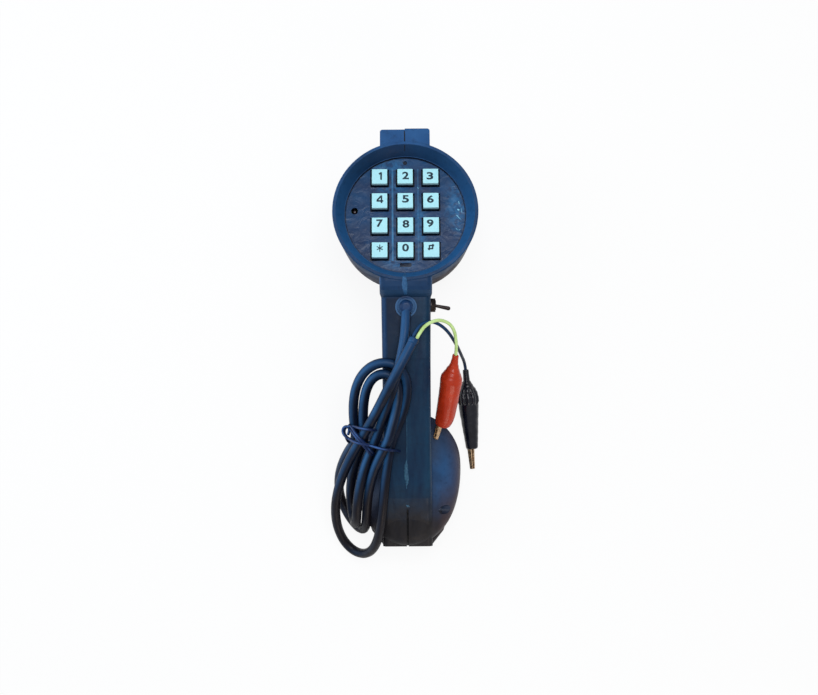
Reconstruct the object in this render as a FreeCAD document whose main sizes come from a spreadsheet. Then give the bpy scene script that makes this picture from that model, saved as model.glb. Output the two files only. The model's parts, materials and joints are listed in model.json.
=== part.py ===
import FreeCAD, Part
import math
import operator
import os

import Sketcher
from FreeCAD import Placement, Rotation, Vector

# A line test telephone lying on its ear cap and mouth cap, keypad upwards.
# Millimetres. +X is the toggle's side, +Y runs to the tab over the keypad, +Z is up, away from the table.
# The origin is under the middle of the handset, on the table.
SIZES = (
    ("head_y", 77.6, "middle of the keypad rim, along the handset"),
    ("head_tilt", 11.5, "lean of the head's axis towards the tab, degrees"),
    ("head_radius", 43.5, "outside of the keypad rim"),
    ("head_foot_radius", 40.8, "outside of the drum where its taper ends"),
    ("head_taper_depth", 33, "rim to the end of the taper"),
    ("head_shoulder_depth", 42, "rim to the shoulder over the ear cap"),
    ("head_shoulder_round", 8, "rounding of the shoulder"),
    ("rim_wall", 2.1, "thickness of the rim"),
    ("rim_round", 0.7, "rounding of the rim's outer edge"),
    ("wall", 2.5, "wall of the housing"),
    ("recess_depth", 9, "rim to the top of the keypad plate"),
    ("recess_draft", 4.6, "how much the recess narrows on its way down"),
    ("ledge_height", 1.5, "ledge round the plate, over the plate's top"),
    ("ledge_radius", 36.4, "opening of the ledge"),
    ("plate_lip", 1.5, "how far the plate reaches under the ledge"),
    ("plate_thickness", 2.4, "keypad plate"),
    ("plate_seat", 1.5, "thickness of the ring under the plate"),
    ("plate_seat_width", 1.1, "how far the ring reaches under the plate"),
    ("fit_gap", 0.1, "clearance of pieces that are held still"),
    ("run_gap", 0.05, "radial clearance of pins and balls that turn"),
    ("cap_radius", 31, "ear cap and mouth cap, outside"),
    ("cap_edge", 1.8, "rounding of the caps' faces"),
    ("cap_face", 1.8, "thickness of the caps' faces"),
    ("cap_play", 0.2, "gap between a cap and its shoulder"),
    ("neck_radius", 28.6, "threaded necks under the caps, outside"),
    ("neck_bore", 25.9, "threaded necks, inside"),
    ("ear_neck_length", 6, "neck under the ear cap"),
    ("mouth_neck_length", 2.2, "neck under the mouth cap"),
    ("gasket_thickness", 0.6, "gaskets on the necks"),
    ("capsule_flange", 1.4, "flange of both capsules"),
    ("capsule_radius", 25.5, "body of both capsules"),
    ("ear_capsule_height", 9, "receiver capsule's body over its flange"),
    ("mouth_capsule_height", 6.5, "microphone capsule's body over its flange"),
    ("capsule_hub_radius", 11, "hub on the back of both capsules"),
    ("capsule_hub_height", 4, "hub on the back of both capsules"),
    ("cap_hole_radius", 1.7, "sound holes"),
    ("cap_hole_circle", 9.5, "circle of the ear cap's sound holes"),
    ("mouth_hole_circle", 16, "outer circle of the mouth cap's sound holes"),
    ("mouth_y", -78.4, "middle of the mouthpiece rim"),
    ("mouth_tilt", 9.5, "lean of the mouthpiece's axis towards the heel, degrees"),
    ("mouth_radius", 34, "outside of the mouthpiece rim"),
    ("mouth_floor", 2.2, "floor of the mouthpiece round its neck"),
    ("bulb_low_y", -88, "low ring of the bulb"),
    ("bulb_low_z", 17.5, "low ring of the bulb"),
    ("bulb_low_radius", 33.3, "low ring of the bulb"),
    ("bulb_low_tilt", 6, "low ring of the bulb, degrees"),
    ("bulb_high_y", -98.4, "high ring of the bulb"),
    ("bulb_high_z", 25, "high ring of the bulb"),
    ("bulb_high_radius", 29.4, "high ring of the bulb"),
    ("bulb_top_y", -94, "top ring of the bulb, inside the spine"),
    ("bulb_top_z", 36, "top ring of the bulb"),
    ("bulb_top_radius", 14, "top ring of the bulb"),
    ("beam_start_y", 46, "handle's upper end, inside the drum"),
    ("neck_y", 26.4, "handle's back where the collar ends"),
    ("neck_top", 57, "handle's back there, over the table"),
    ("neck_bottom", 32.5, "handle's belly there"),
    ("grip_y", -10.5, "first crease of the back"),
    ("grip_top", 54, "height of the back there"),
    ("grip_bottom", 31, "height of the belly there"),
    ("throat_y", -48, "belly where it meets the mouthpiece"),
    ("throat_bottom", 22.5, "height of the belly there"),
    ("crease_y", -96, "second crease of the back"),
    ("crease_top", 42, "height of the back there"),
    ("heel_y", -128.3, "end of the heel"),
    ("heel_top", 28, "height of the heel's edge"),
    ("heel_bottom", 14, "foot of the heel's end wall"),
    ("neck_width", 29.6, "handle's width at the collar"),
    ("grip_width", 29, "handle's width at the grip"),
    ("heel_width", 31.2, "width of the heel"),
    ("handle_round", 3.6, "rounding along the handle"),
    ("neck_cavity_top", 49.5, "hollow of the handle where it opens into the drum"),
    ("collar_width", 31, "collar between drum and handle"),
    ("collar_y", 29.6, "lower edge of the collar's back"),
    ("collar_top", 63.2, "height of the collar's back there"),
    ("collar_rim_drop", 0.6, "collar's back under the rim"),
    ("tab_width", 30.1, "tab over the head"),
    ("tab_reach", 51.4, "middle of the rim to the end of the tab"),
    ("tab_step", 0.6, "how far the right half of the tab stands out"),
    ("tab_thickness", 14, "tab, along the head's axis"),
    ("tab_drop", 1.2, "tab's top under the rim"),
    ("tab_round", 1.6, "rounding of the tab's corners"),
    ("flare_y", -106, "where the heel's flare leaves the mouthpiece"),
    ("flare_width", 54, "width of the flare there"),
    ("flare_bend_y", -119.5, "where the flare narrows faster"),
    ("flare_bend_width", 45, "width of the flare there"),
    ("flare_top", 24.5, "height of the flare"),
    ("flare_bottom", 17.5, "belly of the flare at its start"),
    ("seam_slot_width", 1.2, "open slot between the halves at the heel"),
    ("seam_slot_length", 26, "open slot between the halves at the heel"),
    ("boss_radius", 4.2, "screw bosses"),
    ("screw_radius", 1.5, "housing screws"),
    ("screw_head_radius", 2.7, "housing screws' heads"),
    ("screw_head_height", 2, "housing screws' heads"),
    ("screw_bite", 11, "housing screws' length in the left half"),
    ("flank_screw_y", -105, "screw in the mouthpiece's flank"),
    ("flank_screw_z", 30.5, "screw in the mouthpiece's flank"),
    ("flank_screw_seat", 19, "its head's seat, from the seam"),
    ("grip_screw_y", 2, "screw in the grip"),
    ("grip_screw_z", 40, "screw in the grip"),
    ("grip_screw_seat", 10, "its head's seat, from the seam"),
    ("tab_screw_reach", 46.8, "screw in the tab, from the middle of the rim"),
    ("tab_screw_seat", 11, "its head's seat, from the seam"),
    ("key_pitch", 15.4, "keys, both ways"),
    ("key_top", 9.2, "top of a key"),
    ("key_base", 10.2, "foot of a key, at the plate"),
    ("key_hole", 11.4, "keyholes in the plate"),
    ("key_height", 3.7, "key over the plate"),
    ("key_round", 0.8, "rounding of a key's corners"),
    ("key_flange", 12.4, "flange that holds a key under the plate"),
    ("key_flange_height", 1.2, "flange that holds a key under the plate"),
    ("key_play", 0.3, "flange to plate"),
    ("key_stem_radius", 2, "stem under a key"),
    ("key_stem_length", 1.4, "stem under a key"),
    ("key_travel", 1.5, "travel of a key"),
    ("rib_width", 1.1, "raised ribs between the key columns"),
    ("rib_height", 0.5, "raised ribs between the key columns"),
    ("rib_length", 58, "raised ribs between the key columns"),
    ("lamp_hole_radius", 2.1, "hole for the lamp in the plate"),
    ("lamp_x", -30.6, "hole for the lamp"),
    ("lamp_up", 2.5, "hole for the lamp, towards the tab"),
    ("lamp_radius", 1.5, "lamp"),
    ("pip_radius", 1.3, "blind hole at the top of the plate"),
    ("pip_up", 33, "blind hole at the top of the plate"),
    ("slot_width", 7, "blind slot at the foot of the plate"),
    ("slot_height", 2.4, "blind slot at the foot of the plate"),
    ("slot_down", 31.5, "blind slot at the foot of the plate"),
    ("mark_depth", 0.8, "depth of the blind hole and slot"),
    ("board_thickness", 1.6, "circuit boards"),
    ("mat_width", 43.2, "keypad mat"),
    ("mat_length", 59, "keypad mat"),
    ("mat_round", 6, "rounding of the keypad mat"),
    ("mat_thickness", 1.2, "keypad mat"),
    ("dome_radius", 3.2, "domes of the keypad mat"),
    ("dome_height", 1, "domes of the keypad mat"),
    ("dome_gap", 0.2, "pressed stem to dome"),
    ("keypad_board_radius", 34.5, "keypad board"),
    ("post_radius", 2.2, "posts under the keypad plate"),
    ("small_screw_radius", 1, "keypad and board screws"),
    ("small_head_radius", 2, "keypad and board screws' heads"),
    ("small_head_height", 1.3, "keypad and board screws' heads"),
    ("grommet_y", 20, "cord grommet in the back"),
    ("grommet_radius", 6.4, "dish of the cord grommet"),
    ("grommet_neck_radius", 5.2, "cord grommet through the wall"),
    ("grommet_flange", 1.6, "cord grommet under the wall"),
    ("grommet_lip", 0.9, "height of the dish's lip"),
    ("grommet_dome", 5.9, "height of the grommet's dome"),
    ("grommet_dome_radius", 4.3, "grommet's dome"),
    ("cord_rise", 20, "climb of the cord out of the grommet, degrees"),
    ("cord_foot", 1.6, "height of the cord's end in the grommet, over the back"),
    ("cord_diameter", 5.3, "round cord"),
    ("tie_radius", 0.6, "wire that ties the hank"),
    ("tie_reach", 4.8, "middle of a tied strand to the wire"),
    ("tie_end_run", 8, "straight end of the wire below the strands"),
    ("toggle_y", 21.2, "toggle switch on the right side"),
    ("toggle_z", 46, "toggle switch on the right side"),
    ("bushing_radius", 3, "threaded bushing of the toggle"),
    ("bushing_length", 6, "threaded bushing, from the inside of the wall"),
    ("nut_across_flats", 8, "toggle's nut"),
    ("nut_thickness", 2.2, "toggle's nut"),
    ("washer_radius", 4.2, "toggle's washer"),
    ("washer_thickness", 0.6, "toggle's washer"),
    ("switch_depth", 9, "toggle's body behind the wall"),
    ("switch_length", 12.7, "toggle's body along the handle"),
    ("switch_height", 7, "toggle's body"),
    ("lug_width", 2.2, "toggle's terminals"),
    ("lug_thickness", 0.8, "toggle's terminals"),
    ("lug_pitch", 4.7, "toggle's terminals"),
    ("lever_ball_radius", 1.6, "ball of the toggle's lever"),
    ("lever_root_radius", 0.85, "lever at its ball"),
    ("lever_tip_radius", 1.25, "lever at its end"),
    ("lever_length", 10.6, "ball to the lever's end"),
    ("lever_lean", 12, "lean of the lever towards the heel, degrees"),
    ("lever_tail", 3, "lever behind its ball"),
    ("board_y", -42, "middle of the handle's board"),
    ("board_z", 31.6, "middle of the handle's board"),
    ("board_tilt", 8, "fall of the board towards the heel, degrees"),
    ("board_width", 22.8, "handle's board"),
    ("board_length", 74, "handle's board"),
    ("transformer_width", 15, "line transformer"),
    ("transformer_length", 17, "line transformer"),
    ("transformer_height", 11.5, "line transformer"),
    ("transformer_along", 14, "line transformer, from the board's middle"),
    ("capacitor_radius", 4, "two capacitors"),
    ("capacitor_height", 10, "two capacitors"),
    ("capacitor_along", -1.5, "two capacitors"),
    ("chip_width", 7.6, "dialler chip"),
    ("chip_length", 22.8, "dialler chip"),
    ("chip_height", 3.6, "dialler chip"),
    ("chip_along", -22, "dialler chip"),
    ("rectifier_radius", 4.4, "bridge rectifier"),
    ("rectifier_height", 5, "bridge rectifier"),
    ("rectifier_along", 29.5, "bridge rectifier"),
    ("rail_height", 1.5, "rails that hold the board"),
    ("rail_cover", 1.4, "how far the rails reach over the board"),
    ("jaw_nose", 24, "pivot to a jaw's tip"),
    ("jaw_tail", 22, "pivot to the end of a jaw's tail"),
    ("jaw_width", 4.4, "outer jaw at its pivot"),
    ("jaw_sheet", 0.5, "sheet of the jaws"),
    ("jaw_tip_width", 3, "outer jaw at its tip"),
    ("jaw_tip_height", 1, "half height of the closed tips"),
    ("jaw_back", 3.4, "pivot to a jaw's back"),
    ("jaw_waist", 12, "pivot to where a jaw is slim"),
    ("jaw_waist_back", 1.6, "a jaw's back there"),
    ("jaw_splay", 5, "pivot to the back of a tail's end"),
    ("jaw_teeth", 7, "teeth of a jaw"),
    ("tooth_pitch", 1.6, "teeth of a jaw"),
    ("tooth_depth", 0.7, "teeth of a jaw"),
    ("pin_radius", 1, "pivot pins of the clips"),
    ("pin_head_radius", 1.5, "pivot pins' heads"),
    ("spring_radius", 1.9, "springs of the clips, outside"),
    ("spring_wire", 0.35, "legs of the springs, radius"),
    ("coil_leg", 0.6, "legs of the springs, from the middle"),
    ("boot_radius", 6.6, "boots at the jaws' tails"),
    ("boot_wall", 0.7, "wall of the boots"),
    ("boot_neck_radius", 2.2, "boots at the lead"),
    ("boot_length", 51, "boots"),
    ("boot_belly_length", 5, "widest stretch of the boots"),
    ("boot_bore", 2.6, "bore of the boots round the lead"),
    ("lead_radius", 1, "leads of the clips"),
    ("red_boot_reach", 15.5, "pivot to the red boot's mouth"),
    ("red_boot_neck", 2, "neck of the red boot"),
    ("red_mouth_radius", 4.6, "red boot's mouth"),
    ("black_boot_reach", 12, "pivot to the black boot's mouth"),
    ("black_boot_neck", 9, "neck of the black boot"),
    ("black_mouth_radius", 3.2, "black boot's mouth"),
    ("red_clip_x", 23.5, "red clip's pivot"),
    ("red_clip_y", -40.5, "red clip's pivot"),
    ("red_clip_z", 32.2, "red clip's pivot"),
    ("red_clip_yaw", -104, "red clip's nose, turned from +X, degrees"),
    ("red_clip_pitch", 25, "red clip's nose down, degrees"),
    ("red_clip_roll", -30, "red clip's roll about its length, degrees"),
    ("black_clip_x", 40.2, "black clip's pivot"),
    ("black_clip_y", -59.5, "black clip's pivot"),
    ("black_clip_z", 5.4, "black clip's pivot"),
    ("black_clip_yaw", -85.5, "black clip's nose, turned from +X, degrees"),
    ("black_clip_pitch", 5, "black clip's nose down, degrees"),
    ("black_clip_roll", 40, "black clip's roll about its length, degrees"),
)

PARTS_FOLDER = "parts"
doc = FreeCAD.newDocument("LineTestTelephone")


class Size:
    """A length or angle, known as a number and as the expression that ties it to the sheet."""

    def __init__(self, value, text):
        self.value = value
        self.text = text

    def __add__(self, other):
        return worked_out(self, "+", other)

    def __radd__(self, other):
        return worked_out(other, "+", self)

    def __sub__(self, other):
        return worked_out(self, "-", other)

    def __rsub__(self, other):
        return worked_out(other, "-", self)

    def __mul__(self, other):
        return worked_out(self, "*", other)

    def __rmul__(self, other):
        return worked_out(other, "*", self)

    def __truediv__(self, other):
        return worked_out(self, "/", other)

    def __neg__(self):
        return worked_out(0, "-", self)

    def __float__(self):
        return float(self.value)


SIGNS = {"+": operator.add, "-": operator.sub, "*": operator.mul, "/": operator.truediv}


def as_size(number):
    """A Size of a plain number, or the Size itself."""
    if isinstance(number, Size):
        return number
    return Size(float(number), repr(float(number)))


def worked_out(left, sign, right):
    """The sum, difference, product or quotient of two sizes."""
    left, right = as_size(left), as_size(right)
    return Size(SIGNS[sign](left.value, right.value), f"({left.text} {sign} {right.text})")


def sine(angle):
    return Size(math.sin(math.radians(angle.value)), f"sin({angle.text})")


def cosine(angle):
    return Size(math.cos(math.radians(angle.value)), f"cos({angle.text})")


def angle_of(rise, run):
    """The angle whose tangent is rise over run, in degrees."""
    rise, run = as_size(rise), as_size(run)
    angle = math.degrees(math.atan2(rise.value, run.value))
    return Size(angle, f"atan2({rise.text}; {run.text})")


def make_sheet():
    """Writes the driving sizes into the sheet and returns them by name."""
    sheet = doc.addObject("Spreadsheet::Sheet", "Sizes")
    for row, (name, value, note) in enumerate(SIZES, 1):
        sheet.set(f"A{row}", name)
        sheet.set(f"B{row}", str(value))
        sheet.set(f"C{row}", note)
        sheet.setAlias(f"B{row}", name)
    doc.recompute()
    return {name: Size(float(getattr(sheet, name)), f"Sizes.{name}") for name, value, note in SIZES}


s = make_sheet()


class Frame:
    """A place to build in: its origin in the handset's frame and its turn about +X, in degrees."""

    def __init__(self, y, z, turn, x=0):
        self.x, self.y, self.z = as_size(x), as_size(y), as_size(z)
        self.turn = as_size(turn)

    def point(self, x, along, up):
        """The handset's coordinates of a point of this frame."""
        x, along, up = as_size(x), as_size(along), as_size(up)
        y = self.y + along * cosine(self.turn) - up * sine(self.turn)
        z = self.z + along * sine(self.turn) + up * cosine(self.turn)
        return self.x + x, y, z

    def moved(self, x, along, up):
        """A frame with the same turn whose origin is at that point of this one."""
        x, y, z = self.point(x, along, up)
        return Frame(y, z, self.turn, x)


def over_table(height, radius, edge, tilt):
    """Height of a frame whose tilted cap, this far below it and this wide, touches the table."""
    return (height - edge) * cosine(tilt) + (radius - edge) * sine(tilt) + edge


ear_face_depth = (
    s["head_shoulder_depth"] + s["ear_neck_length"] + s["gasket_thickness"] + s["capsule_flange"] + s["cap_face"]
)
mouth_face_depth = s["mouth_neck_length"] + s["gasket_thickness"] + s["capsule_flange"] + s["cap_face"]
rim_z = over_table(ear_face_depth, s["cap_radius"], s["cap_edge"], s["head_tilt"])
mouth_z = over_table(mouth_face_depth, s["cap_radius"], s["cap_edge"], s["mouth_tilt"])
back_slope = angle_of(s["neck_top"] - s["grip_top"], s["neck_y"] - s["grip_y"])

WORLD = Frame(0, 0, 0)
HEAD = Frame(s["head_y"], rim_z, -s["head_tilt"])
MOUTH = Frame(s["mouth_y"], mouth_z, s["mouth_tilt"])


def back_height(y):
    """Height of the handle's back between the collar and the first crease."""
    share = (y - s["grip_y"]) / (s["neck_y"] - s["grip_y"])
    return s["grip_top"] + (s["neck_top"] - s["grip_top"]) * share


GROMMET = Frame(s["grommet_y"], back_height(s["grommet_y"]), back_slope)
BOARD = Frame(s["board_y"], s["board_z"], s["board_tilt"])


def bind(thing, path, size):
    """Ties a property to the sheet."""
    thing.setExpression(path, as_size(size).text)


def put(thing, frame, spin=None):
    """Places a thing in a frame: its origin on the frame's, its +Z along the frame's."""
    if spin is None:
        thing.Placement = Placement(Vector(), Rotation(Vector(1, 0, 0), 1))
        bind(thing, "Placement.Rotation.Angle", frame.turn)
    else:
        turn = Rotation(Vector(1, 0, 0), frame.turn.value)
        thing.Placement = Placement(Vector(), turn.multiply(spin))
    bind(thing, "Placement.Base.x", frame.x)
    bind(thing, "Placement.Base.y", frame.y)
    bind(thing, "Placement.Base.z", frame.z)
    return thing


ALONG_X = Rotation(Vector(0, 1, 0), 90)
ACROSS = Rotation(Vector(1, 0, 0), 90)


def add(kind, name, **sizes):
    """A Part object whose properties are tied to the sheet."""
    thing = doc.addObject(kind, name)
    for path, size in sizes.items():
        bind(thing, path, size)
    return thing


def cylinder(name, radius, height, frame, spin=None):
    return put(add("Part::Cylinder", name, Radius=radius, Height=height), frame, spin)


def box(name, width, length, height, frame):
    """A box that stands on the middle of a frame's floor."""
    thing = add("Part::Box", name, Length=width, Width=length, Height=height)
    return put(thing, frame.moved(-as_size(width) / 2, -as_size(length) / 2, 0))


def joined(name, *things):
    thing = doc.addObject("Part::MultiFuse", name)
    thing.Shapes = list(things)
    thing.Refine = False
    return thing


def shared(name, *things):
    """What all the things have in common."""
    thing = doc.addObject("Part::MultiCommon", name)
    thing.Shapes = list(things)
    thing.Refine = False
    return thing


def cut(name, base, *tools):
    """The base less each tool in turn."""
    for i, tool in enumerate(tools, 1):
        thing = doc.addObject("Part::Cut", name if i == len(tools) else f"{name}_cut{i}")
        thing.Base = base
        thing.Tool = tool
        thing.Refine = False
        base = thing
    return base


def rounded_corner(before, corner, after, radius):
    """Where a corner's arc starts and ends, and its middle."""
    back = (before - corner).normalize()
    ahead = (after - corner).normalize()
    half = back.getAngle(ahead) / 2
    reach = radius / math.tan(half)
    middle = corner + (back + ahead).normalize() * (radius / math.sin(half))
    return corner + back * reach, corner + ahead * reach, middle


def tie_point(sketch, geometry, end, across, up, tag):
    """Ties one point of a sketch to the sheet, by its distances from the sketch's origin."""
    for axis, size, line in (("X", across, -2), ("Y", up, -1)):
        if size.text == "0.0":
            sketch.addConstraint(Sketcher.Constraint("PointOnObject", geometry, end, line))
            continue
        fixed = Sketcher.Constraint(f"Distance{axis}", -1, 1, geometry, end, size.value)
        place = sketch.addConstraint(fixed)
        sketch.renameConstraint(place, f"{tag}_{axis.lower()}")
        bind(sketch, f"Constraints.{tag}_{axis.lower()}", size)


def draw_outline(sketch, corners):
    """Draws a closed outline of (across, up) or (across, up, radius) corners, tied to the sheet."""
    corners = [tuple(as_size(number) for number in corner) for corner in corners]
    spots = [Vector(corner[0].value, corner[1].value, 0) for corner in corners]
    count = len(corners)
    first_line = sketch.GeometryCount
    tag = f"line{first_line}"
    arcs = {}
    for i, corner in enumerate(corners):
        if len(corner) == 3:
            arcs[i] = rounded_corner(spots[i - 1], spots[i], spots[(i + 1) % count], corner[2].value)
    for i in range(count):
        start = arcs[i][1] if i in arcs else spots[i]
        after = (i + 1) % count
        end = arcs[after][0] if after in arcs else spots[after]
        sketch.addGeometry(Part.LineSegment(start, end))
    for i, corner in enumerate(corners):
        before = first_line + (i - 1) % count
        line = first_line + i
        if i not in arcs:
            sketch.addConstraint(Sketcher.Constraint("Coincident", before, 2, line, 1))
            tie_point(sketch, line, 1, corner[0], corner[1], f"{tag}_corner{i}")
            continue
        start, end, middle = arcs[i]
        circle = Part.Circle(middle, Vector(0, 0, 1), corner[2].value)
        leftwards = (start - middle).cross(end - middle).z > 0
        first, last = (start, end) if leftwards else (end, start)
        arc = sketch.addGeometry(Part.ArcOfCircle(circle, circle.parameter(first), circle.parameter(last)))
        spot = sketch.addGeometry(Part.Point(spots[i]), True)
        tie_point(sketch, spot, 1, corner[0], corner[1], f"{tag}_corner{i}")
        sketch.addConstraint(Sketcher.Constraint("PointOnObject", spot, 1, before))
        sketch.addConstraint(Sketcher.Constraint("PointOnObject", spot, 1, line))
        entry, leave = (1, 2) if leftwards else (2, 1)
        sketch.addConstraint(Sketcher.Constraint("Tangent", before, 2, arc, entry))
        sketch.addConstraint(Sketcher.Constraint("Tangent", arc, leave, line, 1))
        place = sketch.addConstraint(Sketcher.Constraint("Radius", arc, corner[2].value))
        sketch.renameConstraint(place, f"{tag}_corner{i}_round")
        bind(sketch, f"Constraints.{tag}_corner{i}_round", corner[2])
    return sketch


def draw_circles(sketch, circles):
    """Draws (across, up, radius) circles, tied to the sheet."""
    for i, (across, up, radius) in enumerate(circles):
        across, up, radius = as_size(across), as_size(up), as_size(radius)
        round_hole = Part.Circle(Vector(across.value, up.value, 0), Vector(0, 0, 1), radius.value)
        ring = sketch.addGeometry(round_hole)
        tie_point(sketch, ring, 3, across, up, f"ring{i}")
        place = sketch.addConstraint(Sketcher.Constraint("Radius", ring, radius.value))
        sketch.renameConstraint(place, f"ring{i}_radius")
        bind(sketch, f"Constraints.ring{i}_radius", radius)
    return sketch


def new_body(name, frame=WORLD):
    return put(doc.addObject("PartDesign::Body", name), frame)


def new_sketch(body, name, plane="XY_Plane", height=None):
    """A sketch on one of the body's own planes, lifted along its normal."""
    sketch = body.newObject("Sketcher::SketchObject", f"{body.Name}_{name}")
    planes = [feature for feature in body.Origin.OriginFeatures if feature.Role == plane]
    sketch.AttachmentSupport = (planes[0], "")
    sketch.MapMode = "FlatFace"
    if height is not None:
        bind(sketch, "AttachmentOffset.Base.z", height)
    return sketch


def feature(body, kind, name, profile, **sizes):
    thing = body.newObject(f"PartDesign::{kind}", f"{body.Name}_{name}")
    thing.Profile = profile
    for path, size in sizes.items():
        bind(thing, path, size)
    profile.Visibility = False
    return thing


def turned(name, corners, frame=WORLD):
    """A body turned about its +Z from an outline of (radius, height) corners."""
    body = new_body(name, frame)
    profile = draw_outline(new_sketch(body, "profile", "XZ_Plane"), corners)
    turn = feature(body, "Revolution", "turn", profile)
    turn.ReferenceAxis = (profile, ["V_Axis"])
    turn.Angle = 360
    return body


def prism(name, corners, height, frame=WORLD, start=None):
    """A body of an outline in its floor, raised to a height."""
    body = new_body(name, frame)
    profile = draw_outline(new_sketch(body, "profile", "XY_Plane", start), corners)
    feature(body, "Pad", "pad", profile, Length=height)
    return body


def rectangle(width, length, radius=None, across=0, up=0):
    """Corners of a rectangle about a middle, rounded where a radius is given."""
    half, reach = as_size(width) / 2, as_size(length) / 2
    signs = ((-1, -1), (1, -1), (1, 1), (-1, 1))
    corners = [(half * side + across, reach * end + up) for side, end in signs]
    return [corner + (radius,) for corner in corners] if radius is not None else corners


def pocket(body, name, circles, depth, height=0, upwards=True):
    """Round holes into a body, from a height of its frame."""
    profile = draw_circles(new_sketch(body, f"{name}_rings", "XY_Plane", height), circles)
    hole = feature(body, "Pocket", name, profile, Length=depth)
    hole.Reversed = upwards
    return hole


def circle_spots(circle, radius, count, start=0.0):
    """(across, up, radius) of holes spaced evenly on a circle."""
    spots = []
    for i in range(count):
        angle = math.radians(start + 360 * i / count)
        spots.append((circle * math.cos(angle), circle * math.sin(angle), radius))
    return spots


def ring_edge(name, radius, frame):
    return put(add("Part::Circle", name, Radius=radius), frame)


def loft(name, sections, ruled):
    thing = doc.addObject("Part::Loft", name)
    thing.Sections = sections
    thing.Solid = True
    thing.Ruled = ruled
    return thing


def beam(name, stations):
    """A bar along the handset through upright rounded rectangles of (y, top, bottom, width, radius)."""
    sections = []
    for i, (y, top, bottom, width, radius) in enumerate(stations):
        section = doc.addObject("Sketcher::SketchObject", f"{name}_section{i}")
        draw_outline(section, rectangle(width, top - bottom, radius, 0, (top + bottom) / 2))
        section.Placement = Placement(Vector(), ACROSS)
        bind(section, "Placement.Base.y", y)
        sections.append(section)
    return loft(name, sections, True)


NODES = []


def node(thing):
    """Marks a thing as one of the object's own pieces."""
    NODES.append(thing)
    return thing


def between(start, end, share):
    return start + (end - start) * share


# The housing: one outer form and one hollow, parted on the seam into two moulded halves.


def drum_form():
    """The head's outside, with the neck that carries the ear cap."""
    return turned(
        "drum_form",
        [
            (0, 0),
            (s["head_radius"], 0, s["rim_round"]),
            (s["head_foot_radius"], -s["head_taper_depth"], s["head_shoulder_round"]),
            (s["cap_radius"], -s["head_shoulder_depth"]),
            (s["neck_radius"], -s["head_shoulder_depth"]),
            (s["neck_radius"], -s["head_shoulder_depth"] - s["ear_neck_length"]),
            (0, -s["head_shoulder_depth"] - s["ear_neck_length"]),
        ],
        HEAD,
    )


plate_radius = s["ledge_radius"] + s["plate_lip"]
plate_floor = s["recess_depth"] + s["plate_thickness"]
seat_radius = plate_radius - s["plate_seat_width"]


def drum_hollow():
    """The keypad's recess, ledge and seat, and the room for the capsule below."""
    ledge = s["recess_depth"] - s["ledge_height"]
    rim_bore = s["head_radius"] - s["rim_wall"]
    groove = plate_radius + s["fit_gap"]
    seat = plate_floor + s["fit_gap"]
    seat_foot = seat + s["plate_seat"]
    inside = s["head_foot_radius"] - s["wall"]
    taper = (s["head_radius"] - s["head_foot_radius"]) / s["head_taper_depth"]
    neck_end = s["head_shoulder_depth"] + s["ear_neck_length"]
    shoulder = s["head_shoulder_depth"] - s["wall"]
    return turned(
        "drum_hollow",
        [
            (0, s["wall"]),
            (rim_bore, s["wall"]),
            (rim_bore, 0),
            (rim_bore - s["recess_draft"], -ledge),
            (s["ledge_radius"], -ledge),
            (s["ledge_radius"], s["fit_gap"] - s["recess_depth"]),
            (groove, s["fit_gap"] - s["recess_depth"]),
            (groove, -seat),
            (seat_radius, -seat),
            (seat_radius, -seat_foot),
            (inside + taper * (s["head_taper_depth"] - seat_foot - s["wall"]), -seat_foot - s["wall"]),
            (inside, -s["head_taper_depth"]),
            (s["neck_bore"], -shoulder),
            (s["neck_bore"], -neck_end - s["wall"]),
            (0, -neck_end - s["wall"]),
        ],
        HEAD,
    )


def bulb(name, inset):
    """The mouthpiece's swelling, or its hollow where an inset is given."""
    floor = s["mouth_floor"] if inset else as_size(0)
    inset = as_size(inset)
    rings = [
        ring_edge(f"{name}_rim", s["mouth_radius"] - inset, MOUTH.moved(0, 0, floor)),
        ring_edge(
            f"{name}_low",
            s["bulb_low_radius"] - inset,
            Frame(s["bulb_low_y"], s["bulb_low_z"], s["bulb_low_tilt"]),
        ),
        ring_edge(
            f"{name}_high",
            s["bulb_high_radius"] - inset,
            Frame(s["bulb_high_y"], s["bulb_high_z"] - inset / 2, 0),
        ),
        ring_edge(
            f"{name}_top",
            s["bulb_top_radius"] - inset,
            Frame(s["bulb_top_y"], s["bulb_top_z"] - inset, 0),
        ),
    ]
    return loft(name, rings, False)


def handle_form():
    """The handle from inside the drum to the heel."""
    return beam(
        "handle_form",
        [
            (s["beam_start_y"], s["neck_top"] + 1, s["neck_bottom"], s["neck_width"], s["handle_round"]),
            (s["neck_y"], s["neck_top"], s["neck_bottom"], s["neck_width"], s["handle_round"]),
            (s["grip_y"], s["grip_top"], s["grip_bottom"], s["grip_width"], s["handle_round"]),
            (
                s["throat_y"],
                between(s["grip_top"], s["crease_top"], throat_share),
                s["throat_bottom"],
                s["grip_width"],
                s["handle_round"],
            ),
            (s["crease_y"], s["crease_top"], spine_floor, s["grip_width"] + 1, s["handle_round"]),
            (s["heel_y"], s["heel_top"], s["heel_bottom"], s["heel_width"], heel_round),
        ],
    )


def heel_form():
    """The flare that carries the mouthpiece's outline on to the heel."""
    top, bottom, edge = s["flare_top"], s["flare_bottom"], s["handle_round"]
    foot = s["heel_bottom"] + 0.5
    return beam(
        "heel_form",
        [
            (s["flare_y"], top, bottom, s["flare_width"], 2),
            (s["flare_bend_y"], top, between(bottom, foot, 0.6), s["flare_bend_width"], edge - 0.4),
            (s["heel_y"], top, foot, s["heel_width"], edge),
        ],
    )


throat_share = (s["throat_y"] - s["grip_y"]) / (s["crease_y"] - s["grip_y"])
spine_floor = s["bulb_low_z"] - 2
heel_round = (s["heel_top"] - s["heel_bottom"]) * 0.2


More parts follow.
